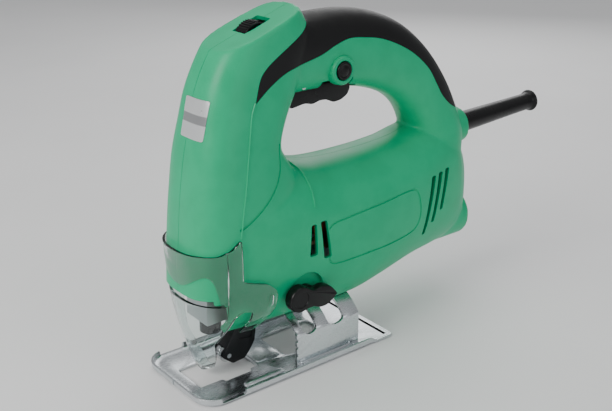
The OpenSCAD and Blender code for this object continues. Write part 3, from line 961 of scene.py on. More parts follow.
FINISHES = {
    "green_plastic": Plastic("green plastic", (0.0, 0.47, 0.21), 0.36, dust=0.02, wear=0.12),
    "grip_rubber": Plastic("grip rubber", (0.004, 0.004, 0.0045), 0.46, 3200.0, 0.3,
                           dust=0.03, wear=0.08),
    "black_plastic": Plastic("black plastic", (0.004, 0.004, 0.0045), 0.3, 2800.0, 0.15, dust=0.03,
                             wear=0.08),
    "clear_plastic": Clear("clear plastic"),
    # zinc steel: the greenish tint paints the green housing's reflection into its colour
    "zinc_steel": Metal("zinc steel", (0.66, 0.69, 0.71), 0.24, tint=(0.50, 0.60, 0.60)),
    "black_steel": Metal("black steel", (0.035, 0.036, 0.038), 0.42, (1.0, 1.0, 1.0), 0.12,
                         (0.06, 0.06, 0.06)),
    "ground_steel": Metal("ground steel", (0.60, 0.61, 0.62), 0.18, (1.0, 1.0, 0.05), 0.08),
    "cast_aluminium": Metal("cast aluminium", (0.62, 0.63, 0.64), 0.45, (1.0, 1.0, 1.0), 0.25),
    "bronze": Metal("bronze", (0.55, 0.36, 0.16), 0.35, (1.0, 1.0, 1.0), 0.15,
                    (0.32, 0.20, 0.09)),
    "copper_wire": Metal("copper wire", (0.62, 0.25, 0.11), 0.30, (0.05, 1.0, 1.0), 0.30,
                         (0.35, 0.10, 0.05)),
    "lamination": Metal("lamination", (0.33, 0.34, 0.35), 0.40, (1.0, 0.05, 0.05), 0.40),
    "carbon": Plastic("carbon", (0.03, 0.03, 0.03), 0.6, 1800.0, 0.3),
    "spring_steel": Metal("spring steel", (0.45, 0.46, 0.47), 0.25, (1.0, 1.0, 1.0), 0.08),
    "label_foil": Banded("label foil", (162.5, 167.5), (0.66, 0.68, 0.69), (0.30, 0.31, 0.32)),
    "board": Plastic("board", (0.03, 0.16, 0.07), 0.4, 1500.0, 0.2),
    "capacitor_film": Plastic("capacitor film", (0.55, 0.42, 0.05), 0.3, 1200.0, 0.1),
}


# ---------------------------------------------------------------- housing


KNOB_PLACE = facing((50, 0, 50), (0, -1, 0))
BUTTON_PLACE = facing((87, 0, 180), (0, -1, 0))
PIVOT_PLACE = facing((62, 0, 173), (0, 1, 0))
PAST = 60  # millimetres, past the housing on either side



@dataclass
class HousingForm:
    """Outer form of the housing: head, barrel, loop handle and the two rear stubs.

    Attributes:
        ring: points of a cross-section.
        voxel: face size of the melted skin.
        rounds: smoothing rounds of the melted skin.
    """

    ring: int = 120
    voxel: float = 0.95
    rounds: int = 14
    head_front: Table = field(default_factory=lambda: [
        (58, -21.5), (80, -20.5), (100, -19), (120, -17), (140, -14), (160, -9.5),
        (180, -4.5), (200, 6), (222, 24)])
    head_rear: Table = field(default_factory=lambda: [
        (58, 34), (98, 54), (118, 56), (132, 50), (142, 44.5), (160, 50), (178, 60),
        (196, 67), (210, 66.5), (222, 60)])
    head_side: Table = field(default_factory=lambda: [
        (58, 27), (100, 28.5), (130, 27), (160, 24.5), (185, 22), (205, 20.5), (222, 17)])
    barrel_bottom: Table = field(default_factory=lambda: [
        (-4, 31), (30, 29), (97, 29), (120, 33), (150, 39), (180, 42), (200, 46)])
    barrel_top: Table = field(default_factory=lambda: [
        (-4, 118), (20, 130), (50, 129), (75, 124), (110, 123), (140, 125), (165, 130),
        (188, 126), (200, 112)])
    barrel_side: Table = field(default_factory=lambda: [
        (-4, 28), (20, 30.5), (55, 31.5), (110, 31), (145, 28.5), (175, 25), (192, 21.5),
        (200, 17)])
    handle_line: list = field(default_factory=lambda: [
        (50, 190), (74, 190.5), (95, 190), (115, 186.5), (134, 179.5), (151, 168.5),
        (165, 154), (175, 137), (181, 118), (182, 98)])
    handle_half: list = field(default_factory=lambda: [
        22, 23, 23.5, 23.5, 22.5, 20.5, 19, 19, 20, 18])
    handle_side: Table = field(default_factory=lambda: [
        (0, 19.5), (1, 18), (2, 17.5), (5, 17), (7, 18.5), (8, 20.5), (9, 20)])

    def head(self, grow: float) -> bpy.types.Object:
        """Head of the housing with its slanted top.

        Args:
            grow: how far the form is grown; negative shrinks it.

        Returns:
            The solid.
        """
        rings = []
        steps = 40
        for i in range(steps + 1):
            z = 58 + 164 * i / steps + (0 if 0 < i < steps else grow * (1 if i else -1))
            front = spline(self.head_front, z) - grow
            rear = spline(self.head_rear, z) + grow
            width = spline(self.head_side, z) + grow
            rings.append([
                ((front + rear) / 2 + p, q, z)
                for p, q in superellipse((rear - front) / 2, width, 3.1, self.ring)
            ])
        solid = skin("head form", rings)
        cap = block("cap plane", (-90, -60, 0), (110, 60, 70))
        cap.matrix_world = (
            Matrix.Translation((0.028, 0, (208.5 + grow) * MM))
            @ Matrix.Rotation(math.radians(-20), 4, "Y")
        )
        bpy.context.view_layer.update()
        return combine(solid, cap, Cut.MINUS)

    def barrel(self, grow: float) -> bpy.types.Object:
        """Motor barrel, drawn along x.

        Args:
            grow: how far the form is grown, in millimetres.

        Returns:
            The object.
        """
        rings = []
        steps = 48
        for i in range(steps + 1):
            x = -4 + 204 * i / steps + (0 if 0 < i < steps else grow * (1 if i else -1))
            low = spline(self.barrel_bottom, x) - grow
            high = spline(self.barrel_top, x) + grow
            width = spline(self.barrel_side, x) + grow
            rings.append([
                (x, p, (low + high) / 2 + q)
                for p, q in superellipse(width, (high - low) / 2, 2.6, self.ring)
            ])
        return skin("barrel form", rings)

    def handle(self, grow: float) -> bpy.types.Object:
        """Loop handle, drawn along its curved centre line.

        Args:
            grow: how far the form is grown, in millimetres.

        Returns:
            The object.
        """
        line_x = [(i, p[0]) for i, p in enumerate(self.handle_line)]
        line_z = [(i, p[1]) for i, p in enumerate(self.handle_line)]
        half = list(enumerate(self.handle_half))
        rings = []
        steps = 60
        for i in range(steps + 1):
            s = 9 * i / steps
            x, z = spline(line_x, s), spline(line_z, s)
            dx = spline(line_x, s + 0.02) - spline(line_x, s - 0.02)
            dz = spline(line_z, s + 0.02) - spline(line_z, s - 0.02)
            length = math.hypot(dx, dz)
            width, high = spline(self.handle_side, s) + grow, spline(half, s) + grow
            rings.append([
                (x - q * dz / length, p, z + q * dx / length)
                for p, q in superellipse(width, high, 2.4, self.ring)
            ])
        return skin("handle form", rings)

    def stubs(self, grow: float) -> list[bpy.types.Object]:
        """Dust tube and cord boss.

        Args:
            grow: how far the form is grown, in millimetres.

        Returns:
            The closed forms.
        """
        end = min(grow, 0.0)
        dust = lathe("dust form", [(17 + grow, 0), (17 + grow, 37 + end)],
                     facing((170, 0, 57), (1, 0, 0)), 96)
        tilt = math.radians(2.5)
        cord = lathe("cord form", [(12.5 + grow, -22), (12.5 + grow, 2 + end)],
                     facing((205, 0, 120.5), (math.cos(tilt), 0, math.sin(tilt))), 96)
        return [dust, cord]

    def build(self, name: str, grow: float, voxel: float, rounds: int) -> bpy.types.Object:
        """Melted form.

        Args:
            name: object name.
            grow: how far the form is grown.
            voxel: face size.
            rounds: smoothing rounds.

        Returns:
            The closed skin.
        """
        parts = [self.head(grow), self.barrel(grow), self.handle(grow), *self.stubs(grow)]
        return remesh(merge(name, parts), voxel, rounds)


def pushed_in(obj: bpy.types.Object, name: str, depth: float) -> bpy.types.Object:
    """Copy of a skin with every point moved inwards along its normal.

    Args:
        obj: the object.
        name: object name.
        depth: how far in, in millimetres.

    Returns:
        The object.
    """
    twin = copy_of(obj, name)
    count = len(twin.data.vertices)
    points, normals = np.empty(count * 3), np.empty(count * 3)
    twin.data.vertices.foreach_get("co", points)
    twin.data.vertices.foreach_get("normal", normals)
    twin.data.vertices.foreach_set("co", points - normals * depth * MM)
    twin.data.update()
    return twin


class SurfaceLine:
    """Finds points on a skin, for grooves and ridges that follow it."""

    def __init__(self, obj: bpy.types.Object) -> None:
        """Args:
            obj: the skin to follow.
        """
        bm = bmesh.new()
        bm.from_mesh(obj.data)
        self.tree = BVHTree.FromBMesh(bm)
        bm.free()

    def side(self, x: float, z: float, side: float) -> Point | None:
        """Point of the skin seen from one side.

        Args:
            x: where to look.
            z: where to look.
            side: -1 for the left side, 1 for the right.

        Returns:
            The point in millimetres, or None where there is no skin.
        """
        start = Vector((x * MM, side * 0.09, z * MM))
        hit = self.tree.ray_cast(start, Vector((0, -side, 0)))[0]
        return None if hit is None else tuple(c / MM for c in hit)

    def bead(self, name: str, line: Table, side: float, radius: float, steps: int = 10):
        """Round bead whose centre line lies on the skin.

        Args:
            name: object name.
            line: (x, z) points to pass through.
            side: -1 for the left side, 1 for the right.
            radius: radius of the bead.
            steps: pieces between two points.

        Returns:
            The bead.
        """
        path = smooth_path([(x, 0.0, z) for x, z in line], steps)
        points = [self.side(x, z, side) for x, _, z in path]
        return tube(name, [p for p in points if p], radius)


@dataclass
class Housing:
    """The two half shells, the soft grip and the rating plate, with the screw holes and posts.

    Attributes:
        form: the outer form.
        wall: wall thickness.
        grip_depth: thickness of the soft grip.
        seam: half width of the gap between the two shells.
        grip_line: side outline of the soft grip.
        vents: (bottom x, bottom z, top x, top z, bottom width, top width) of each slot.
        screws: positions of the housing screws in x and z.
    """

    form: HousingForm = field(default_factory=HousingForm)
    wall: float = 2.6
    grip_depth: float = 2.0
    seam: float = 0.12
    grip_line: Table = field(default_factory=lambda: [
        (20, 172), (24, 184), (28, 189.5), (34, 194), (46, 201), (57, 207), (65, 213),
        (70, 226), (100, 226), (160, 205), (215, 165), (215, 136), (203, 134), (184, 141),
        (174, 149), (168, 158), (161, 169), (150, 179), (137, 187), (120, 194),
        (105, 197), (93, 198), (82, 195.5), (71, 191.5), (56, 188.5), (43, 186), (31, 180)])
    screws: Table = field(default_factory=lambda: [
        (14, 160), (30, 177), (112, 118), (152, 163), (187, 96), (104, 46), (140, 50)])
    vents: list = field(default_factory=lambda: [
        (52, 74, 53.5, 94, 6, 4), (63, 70, 60.5, 94.5, 6, 5),
        (151, 60, 158, 100, 3, 4), (159, 67, 165, 101, 3, 4), (167, 74, 172, 102, 3, 4)])

    def grip_prism(self, name: str, shrink: float) -> bpy.types.Object:
        """Zone of the soft grip as a wide prism.

        Args:
            name: object name.
            shrink: how far the outline is moved inwards.

        Returns:
            The prism.
        """
        path = smooth_path([(x, 0.0, z) for x, z in self.grip_line + self.grip_line[:1]], 6)
        points = [(p[0], p[2]) for p in path[:-1]]
        if shrink:
            moved = []
            n = len(points)
            for i in range(n):
                ax, az = points[i - 1]
                bx, bz = points[(i + 1) % n]
                length = math.hypot(bx - ax, bz - az) or 1.0
                moved.append((points[i][0] + shrink * (bz - az) / length,
                              points[i][1] - shrink * (bx - ax) / length))
            points = moved
        return prism_y(name, points, -PAST, PAST)

    def slots(self) -> list[bpy.types.Object]:
        """Cutters of the vents, with rounded ends.

        Returns:
            The cutters.
        """
        out = []
        for i, (x0, z0, x1, z1, w0, w1) in enumerate(self.vents):
            sharp = [(x0, z0), (x0 + w0, z0), (x1 + w1, z1), (x1, z1)]
            out.append(prism_y(f"vent {i}", round_corners(sharp, 1.5), -PAST, PAST))
        return out

    def cuts(self) -> list[bpy.types.Object]:
        """Every other hole and recess of the housing.

        Returns:
            The cutters.
        """
        out = [
            lathe("bevel seat", [(38.6, -60), (38.6, 240)], facing((0, 0, 0), (1, 0, 0)), 160),
            block("plunger channel", (-60, -12.5, -1), (32, 12.5, 62)),
            block("front channel", (-60, -24, -1), (-1, 24, 62)),
            prism_z("trigger slot", round_corners(
                [(50, -9.6), (105.5, -9.6), (105.5, 9.6), (50, 9.6)], 1.5), 150, 180),
            lathe("orbit recess", [(14.0, 27.4), (14.0, 30.6), (14.8, 31.4), (17, 36)],
                  KNOB_PLACE, 96),
            lathe("orbit bore", [(4.4, 20), (4.4, 36)], KNOB_PLACE, 48),
            lathe("socket bore", [(15.0, 0), (15.0, 40), (16.4, 47.4), (16.4, 80)],
                  facing((160, 0, 57), (1, 0, 0)), 96),
        ]
        tilt = math.radians(2.5)
        along = (math.cos(tilt), 0, math.sin(tilt))
        out.append(lathe("cord bore", [(7.6, -40), (7.6, 0.4), (8.6, 1.6), (8.6, 30)],
                         facing((205, 0, 120.5), along), 64))
        window = prism_z("dial window", round_corners(
            [(0, -6.5), (16.5, -6.5), (16.5, 6.5), (0, 6.5)], 1.6), -30, 12)
        window.matrix_world = (
            Matrix.Translation((0.028, 0, 0.2085)) @ Matrix.Rotation(math.radians(-20), 4, "Y"))
        out.append(window)
        out.append(lathe("dial room", [(10.6, -6), (10.6, 6)],
                         facing((35.5, 0, 203.5), (0, 1, 0)), 64))
        for x, z in self.screws:
            out.append(lathe("screw hole", [(2.3, -8.6), (2.3, 40)],
                             facing((x, 0, z), (0, 1, 0)), 32))
        out.append(lathe("button hole", [(5.9, 0), (5.9, 19.2), (6.6, 20.0), (6.6, 30)],
                         BUTTON_PLACE, 64))
        out.append(block("switch room", (75, -14, 168), (99, 14, 192)))
        return out

    def label_prism(self, name: str, grow: float) -> bpy.types.Object:
        """Rounded outline of the rating plate, drawn out along x.

        Args:
            name: object name.
            grow: how far the form is grown, in millimetres.

        Returns:
            The object.
        """
        low_y, high_y, low_z, high_z = -14 - grow, 6 + grow, 154 - grow, 176 + grow
        outline = round_corners(
            [(low_y, low_z), (high_y, low_z), (high_y, high_z), (low_y, high_z)], 1.3)
        return skin(name, [[(x, y, z) for y, z in outline] for x in (-30, 8)])

    def build(self, mats: dict) -> None:
        """Builds every piece of the housing.

        Args:
            mats: materials by slot.
        """
        outer = self.form.build("outer", 0.0, self.form.voxel, self.form.rounds)
        LOG.info("outer form: %d faces", len(outer.data.polygons))
        hollow = self.form.build("hollow", -self.wall, 2.0, 2)
        under = pushed_in(outer, "under grip", self.grip_depth)
        lines = SurfaceLine(outer)
        grip = copy_of(outer, "soft_grip")
        whole = pushed_in(outer, "whole", 0.3)
        self.rating_plate(outer, mats)
        self.decorate(outer, lines)

        # housing: skin minus the blank of the grip, the hollow and the openings
        blank = self.grip_prism("blank", 0.0)
        combine(blank, under, Cut.MINUS, keep=True)
        combine(outer, blank, Cut.MINUS)
        deeper = self.grip_prism("deep zone", -1.0)
        combine(hollow, deeper, Cut.MINUS)
        core = self.form.build("core", -self.wall - self.grip_depth, 2.0, 2)
        for cutter in (hollow, core):
            combine(outer, cutter, Cut.MINUS)
        inner = [lathe("orbit floor", [(15.4, 25.4), (15.4, 28.6)], KNOB_PLACE, 96)]
        inner += [lathe("post", [(4.2, -29), (4.2, 29)], facing((x, 0, z), (0, 1, 0)), 40)
                  for x, z in self.screws]
        for solid in inner:
            combine(solid, whole, Cut.COMMON, keep=True)
            combine(outer, solid, Cut.PLUS)
        drop(whole)
        for cutter in (*self.cuts(), *self.slots()):
            combine(outer, cutter, Cut.MINUS)
        for side, name in ((-1, "shell_left"), (1, "shell_right")):
            half = copy_of(outer, name)
            y0, y1 = (-60, -self.seam) if side < 0 else (self.seam, 60)
            combine(half, block("half", (-100, y0, -10), (300, y1, 260)), Cut.COMMON)
            node = "housing_left" if side < 0 else "housing_right"
            place_piece(half, mats, "green_plastic", "housing", node)
        drop(outer)

        # soft grip: what the blank took away, with its border drawn in
        combine(grip, self.grip_prism("grip zone", 0.18), Cut.COMMON)
        combine(grip, under, Cut.MINUS)
        combine(grip, lathe("collar room", [(8.8, 0), (8.8, 40)], BUTTON_PLACE, 64), Cut.MINUS)
        place_piece(grip, mats, "grip_rubber", "housing", "handle_grip")

    def decorate(self, outer: bpy.types.Object, lines: SurfaceLine) -> None:
        """Raised and sunk lines of the skin.

        Args:
            outer: the skin, changed in place.
            lines: finder of points on the skin.
        """
        panel = [(100, 64), (72, 64.5), (66.5, 72), (65.5, 84), (70, 90.5), (82, 92), (112, 94),
                 (138, 96), (144.5, 91), (147, 78), (144, 69.5), (136, 66), (118, 64.3), (100, 64)]
        arc = [(37, 146), (36, 141), (34.5, 132), (30, 122), (22, 113), (12, 106), (4.5, 102.5)]
        crease = [(20, 173), (17, 166), (14.5, 153), (12, 139), (9.5, 124), (6.5, 108), (5, 98)]
        shoulder = [(46.5, 141), (47, 137), (52, 130), (56, 124), (57.5, 116), (57.5, 104)]
        for side in (-1, 1):
            combine(outer, lines.bead("panel", panel, side, 0.75), Cut.MINUS)
            combine(outer, lines.bead("arc", arc, side, 0.9), Cut.MINUS)
            combine(outer, lines.bead("crease", crease, side, 0.55), Cut.PLUS)
            combine(outer, lines.bead("shoulder", shoulder, side, 0.8), Cut.PLUS)
        collar = lathe("collar", [(9.4, 12), (8.7, 18.6), (8.0, 19.5), (6.2, 19.5)],
                       BUTTON_PLACE, 96)
        combine(outer, collar, Cut.PLUS)

    def rating_plate(self, outer: bpy.types.Object, mats: dict) -> None:
        """Thin foil plate that follows the head's front, in a shallow pocket.

        Args:
            outer: the skin; the pocket is cut into it.
            mats: materials by slot.
        """
        floor = pushed_in(outer, "pocket floor", 0.35)
        plate = pushed_in(outer, "rating_plate", -0.18)
        combine(plate, self.label_prism("plate outline", 0.0), Cut.COMMON)
        combine(plate, floor, Cut.MINUS, keep=True)
        pocket = self.label_prism("pocket", 0.15)
        combine(pocket, floor, Cut.MINUS)
        combine(outer, pocket, Cut.MINUS)
        place_piece(plate, mats, "label_foil", "housing", "label_plate", 40)


# ---------------------------------------------------------------- base


@dataclass
class Base:
    """Pressed base plate with turned-up edges and the arched bevel bracket, with their rivet
    holes.

    Attributes:
        x0: front of the plate.
        x1: rear of the plate.
        half: half width.
        sheet: sheet thickness.
        flange: height of the turned-up edge.
    """

    x0: float = -28.0
    x1: float = 119.0
    half: float = 36.0
    sheet: float = 1.6
    flange: float = 5.0

    def outline(self) -> list[tuple[float, float]]:
        """Plan outline with large front corners, evenly divided.

        Returns:
            The points.
        """
        sharp = [(self.x0, -self.half), (self.x1, -self.half),
                 (self.x1, self.half), (self.x0, self.half)]
        corner = {0: 14.0, 1: 3.5, 2: 3.5, 3: 14.0}
        points = []
        for i, (cx, cy) in enumerate(sharp):
            r = corner[i]
            mx = cx + r if cx < 0 else cx - r
            my = cy + r if cy < 0 else cy - r
            start = {0: 180, 1: 270, 2: 0, 3: 90}[i]
            for k in range(13):
                a = math.radians(start + 90 * k / 12)
                points.append((mx + r * math.cos(a), my + r * math.sin(a)))
        dense = []
        for i, p in enumerate(points):
            q = points[(i + 1) % len(points)]
            steps = max(1, round(math.dist(p, q) / 1.5))
            for k in range(steps):
                dense.append((p[0] + (q[0] - p[0]) * k / steps, p[1] + (q[1] - p[1]) * k / steps))
        return dense

    def lift(self, x: float) -> float:
        """How far the edge is turned up, from 0 at the flat rear to 1.

        Args:
            x: place along the plate, in millimetres.

        Returns:
            The share.
        """
        u = min(max((105.0 - x) / 6.0, 0.0), 1.0)
        return u * u * (3 - 2 * u)

    def loop(self, inset: float, height: float, rise: float) -> list[Point]:
        """One closed line of the sheet.

        Args:
            inset: distance inside the outline.
            height: height of the line where the edge is flat.
            rise: extra height where the edge is fully turned up.

        Returns:
            The points.
        """
        line = self.outline()
        out = []
        n = len(line)
        for i, (x, y) in enumerate(line):
            (ax, ay), (bx, by) = line[i - 1], line[(i + 1) % n]
            length = math.hypot(bx - ax, by - ay)
            nx, ny = -(by - ay) / length, (bx - ax) / length
            out.append((x + nx * inset, y + ny * inset, height + rise * self.lift(x)))
        return out

    def plate(self) -> bpy.types.Object:
        """The plate: sheet, curled edge, beads, openings, gaps and notch.

        Returns:
            The object.
        """
        t, f = self.sheet, self.flange
        bottom = [(6.0, 0.0, 0.0), (2.6, 0.0, 0.0), (1.2, 0.0, 0.35), (0.35, 0.15, 1.1),
                  (0.0, 0.5, 2.0)]
        top = [(0.0, 1.1, f - 1.5), (0.35, 1.5, f - 1.65), (1.15, t, f - 1.65),
               (1.55, t - 0.1, f - 2.1), (1.7, t, 1.3), (2.3, t, 0.45), (3.2, t, 0.0),
               (6.0, t, 0.0)]
        plate = skin("base_plate_shell", [self.loop(*row) for row in bottom + top])
        for y in (-27.5, 27.5):
            rows = []
            for i in range(25):
                u = i / 24
                x = 4.5 + 30 * u
                end = math.sqrt(max(0.0, 1 - (2 * u - 1) ** 8))
                rows.append([
                    (x, y + 3.3 * end * math.cos(a), 0.9 + (0.2 + 2.9 * end) * max(math.sin(a), 0))
                    for a in (math.pi * k / 14 for k in range(15))
                ])
            combine(plate, skin("bead", rows), Cut.PLUS)
        dish = prism_z("bridge", round_corners([(26.5, -11), (44.5, -11), (44.5, 11),
                                                (26.5, 11)], 3), 1.4, 2.6)
        combine(plate, dish, Cut.PLUS)
        for name, sharp, radius in (
            ("blade opening", [(-17, -13), (-1, -13), (-1, -16), (19, -16), (19, -13), (25, -13),
                               (25, 13), (19, 13), (19, 16), (-1, 16), (-1, 13), (-17, 13)], 1.6),
            ("second opening", [(46, -15), (86, -15), (86, 15), (46, 15)], 5.0),
        ):
            combine(plate, prism_z(name, round_corners(sharp, radius), -1, 12), Cut.MINUS)
        for side in (-1, 1):
            gap = [(-16.0, 1.7), (0.0, 1.7), (0.6, 3.0), (1.0, 9), (-17.0, 9), (-16.6, 3.0)]
            y0, y1 = sorted((side * 32.5, side * 40))
            combine(plate, prism_y("fence gap", round_corners(gap, 0.6), y0, y1), Cut.MINUS)
        notch = prism_z("notch", [(-30, -1.1), (-24.5, -0.5), (-24.5, 0.5), (-30, 1.1)], 1.7, 9)
        combine(plate, notch, Cut.MINUS)
        self.drill(plate)
        return bevel(plate, 0.22, 2, 50)

    @staticmethod
    def drill(sheet: bpy.types.Object) -> None:
        """Cuts the four rivet holes.

        Args:
            sheet: the plate or the bracket, changed in place.
        """
        for x in (48.0, 88.0):
            for y in (-32.2, 32.2):
                hole = lathe("rivet hole", [(1.55, -1), (1.55, 9)],
                             facing((x, y, 0), (0, 0, 1)), 24)
                combine(sheet, hole, Cut.MINUS)

    def bracket(self) -> bpy.types.Object:
        """Arched sheet with rounded shoulders, two half-moon slots and small front notches.

        Returns:
            The object.
        """
        def arch(radius: float, half: float, low: float) -> list[tuple[float, float]]:
            rise = math.sqrt(radius**2 - half**2)
            points = [(half, low)]
            a0 = math.atan2(rise - 2.2, half)
            for k in range(33):
                a = a0 + (math.pi - 2 * a0) * k / 32
                points.append((min(max(radius * math.cos(a), -half), half), radius * math.sin(a)))
            points.append((-half, low))
            return points

        outer, inner = arch(38.0, 30.0, 1.6), arch(36.2, 28.2, 1.6)
        section = outer + list(reversed(inner))
        bracket = skin("bevel_bracket_arch",
                       [[(x, y, z) for y, z in section] for x in (43.0, 93.0)])
        for side in (-1, 1):
            foot = [(side * 28.6, 1.6), (side * 33.9, 1.6), (side * 33.9, 2.2),
                    (side * 32.6, 3.2), (side * 30.4, 3.2), (side * 28.6, 4.6)]
            if side > 0:
                foot.reverse()
            combine(bracket, skin("foot", [[(x, y, z) for y, z in foot] for x in (43.2, 92.8)]),
                    Cut.PLUS)
        for x0, x1 in ((48.0, 59.0), (68.0, 81.0)):
            mid = (x0 + x1) / 2
            half_moon = [(x0, 60), (x0, 25.5)]
            half_moon += [(mid - (x1 - x0) / 2 * math.cos(a), 25.5 - 4.2 * math.sin(a))
                          for a in (math.pi * k / 12 for k in range(1, 12))]
            half_moon += [(x1, 25.5), (x1, 60)]
            combine(bracket, prism_y("slot", half_moon, -PAST, PAST), Cut.MINUS)
        self.drill(bracket)
        for side in (-1, 1):
            for k in range(4):
                z = 8.0 + 5.0 * k
                y0, y1 = sorted((side * 26, side * 33))
                combine(bracket, prism_y("tooth", [(42, z), (44.0, z + 0.8), (44.0, z + 2.2),
                                                   (42, z + 3.0)], y0, y1), Cut.MINUS)
        return bevel(bracket, 0.35, 2, 40)

    def build(self, mats: dict) -> None:
        """Builds the base.

        Args:
            mats: materials by slot.
        """
        place_piece(self.plate(), mats, "zinc_steel", "base", "base_plate")
        place_piece(self.bracket(), mats, "zinc_steel", "base", "bevel_bracket")


# ---------------------------------------------------------------- guard


@dataclass
class Guard:
    """Clear wrap-round chip guard.

    Attributes:
        wall: wall thickness.
        ring: points of a cross-section.
        front: front of the outer form by height.
        side: half width by height.
        rear: rear of the outer form by height.
    """

    wall: float = 1.6
    ring: int = 160
    front: Table = field(default_factory=lambda: [
        (6, -9), (12, -12), (30, -16.5), (60, -20.8), (101, -25)])
    side: Table = field(default_factory=lambda: [
        (6, 4), (12, 7.5), (22, 14), (36, 24.5), (46, 30.5), (56, 32.7), (75, 32.7),
        (101, 31.6)])
    rear: Table = field(default_factory=lambda: [
        (6, 4), (12, 10), (30, 40), (50, 64), (101, 70)])
    outline: Table = field(default_factory=lambda: [
        (-40, -2), (-40, 90.6), (-24, 89.6), (-10, 89.6), (-2, 92.5), (3.8, 97.6), (3.9, 71.5),
        (20, 66.5), (25.5, 61.5), (27, 57), (25.6, 49.5), (21, 41), (14, 35), (4, 36.2),
        (9.4, 44.5), (9.8, 51), (4, 52.8), (-1, 49.5), (-4.6, 38), (-7, 29), (-1, 10), (0, -2)])

    def form(self, name: str, grow: float) -> bpy.types.Object:
        """Closed form of the guard, grown or shrunk.

        Args:
            name: object name.
            grow: how far the form is grown, in millimetres.

        Returns:
            The object.
        """
        rings = []
        for i in range(39):
            z = 6 + 95 * i / 38
            low = -grow if i == 0 and grow < 0 else 0.0
            front = spline(self.front, z) - grow
            rear = spline(self.rear, z) + grow
            width = max(spline(self.side, z) + grow, 0.8)
            rings.append([
                ((front + rear) / 2 + p, q, z + low)
                for p, q in superellipse((rear - front) / 2, width, 2.6, self.ring)
            ])
        return skin(name, rings)

    def build(self, mats: dict) -> None:
        """Builds the guard.

        Args:
            mats: materials by slot.
        """
        shell = self.form("clear_guard", -0.02)
        combine(shell, self.form("guard inside", -self.wall), Cut.MINUS)
        keep = prism_y("guard outline", round_corners(self.outline, 1.8, 6), -50, 50)
        combine(shell, keep, Cut.COMMON)
        form = HousingForm(ring=96)
        combine(shell, form.head(0.55), Cut.MINUS)
        combine(shell, form.barrel(0.55), Cut.MINUS)
        for sharp in ([(-1.8, 76), (1.0, 75.6), (1.4, 95), (-1.0, 92.5)],
                      [(18.4, 45.5), (20.8, 44.6), (23.6, 52), (23.9, 58.5), (21.3, 59)]):
            for side in (-1, 1):
                y = side * (32.7 if sharp[0][0] < 0 else 32.4)
                y0, y1 = sorted((y - side * 0.75, y + side * 5))
                combine(shell, prism_y("grip slot", round_corners(sharp, 0.9), y0, y1), Cut.MINUS)
        bevel(shell, 0.3, 2, 50)
        place_piece(shell, mats, "clear_plastic", "guard", "chip_guard", 40)


# ---------------------------------------------------------------- controls


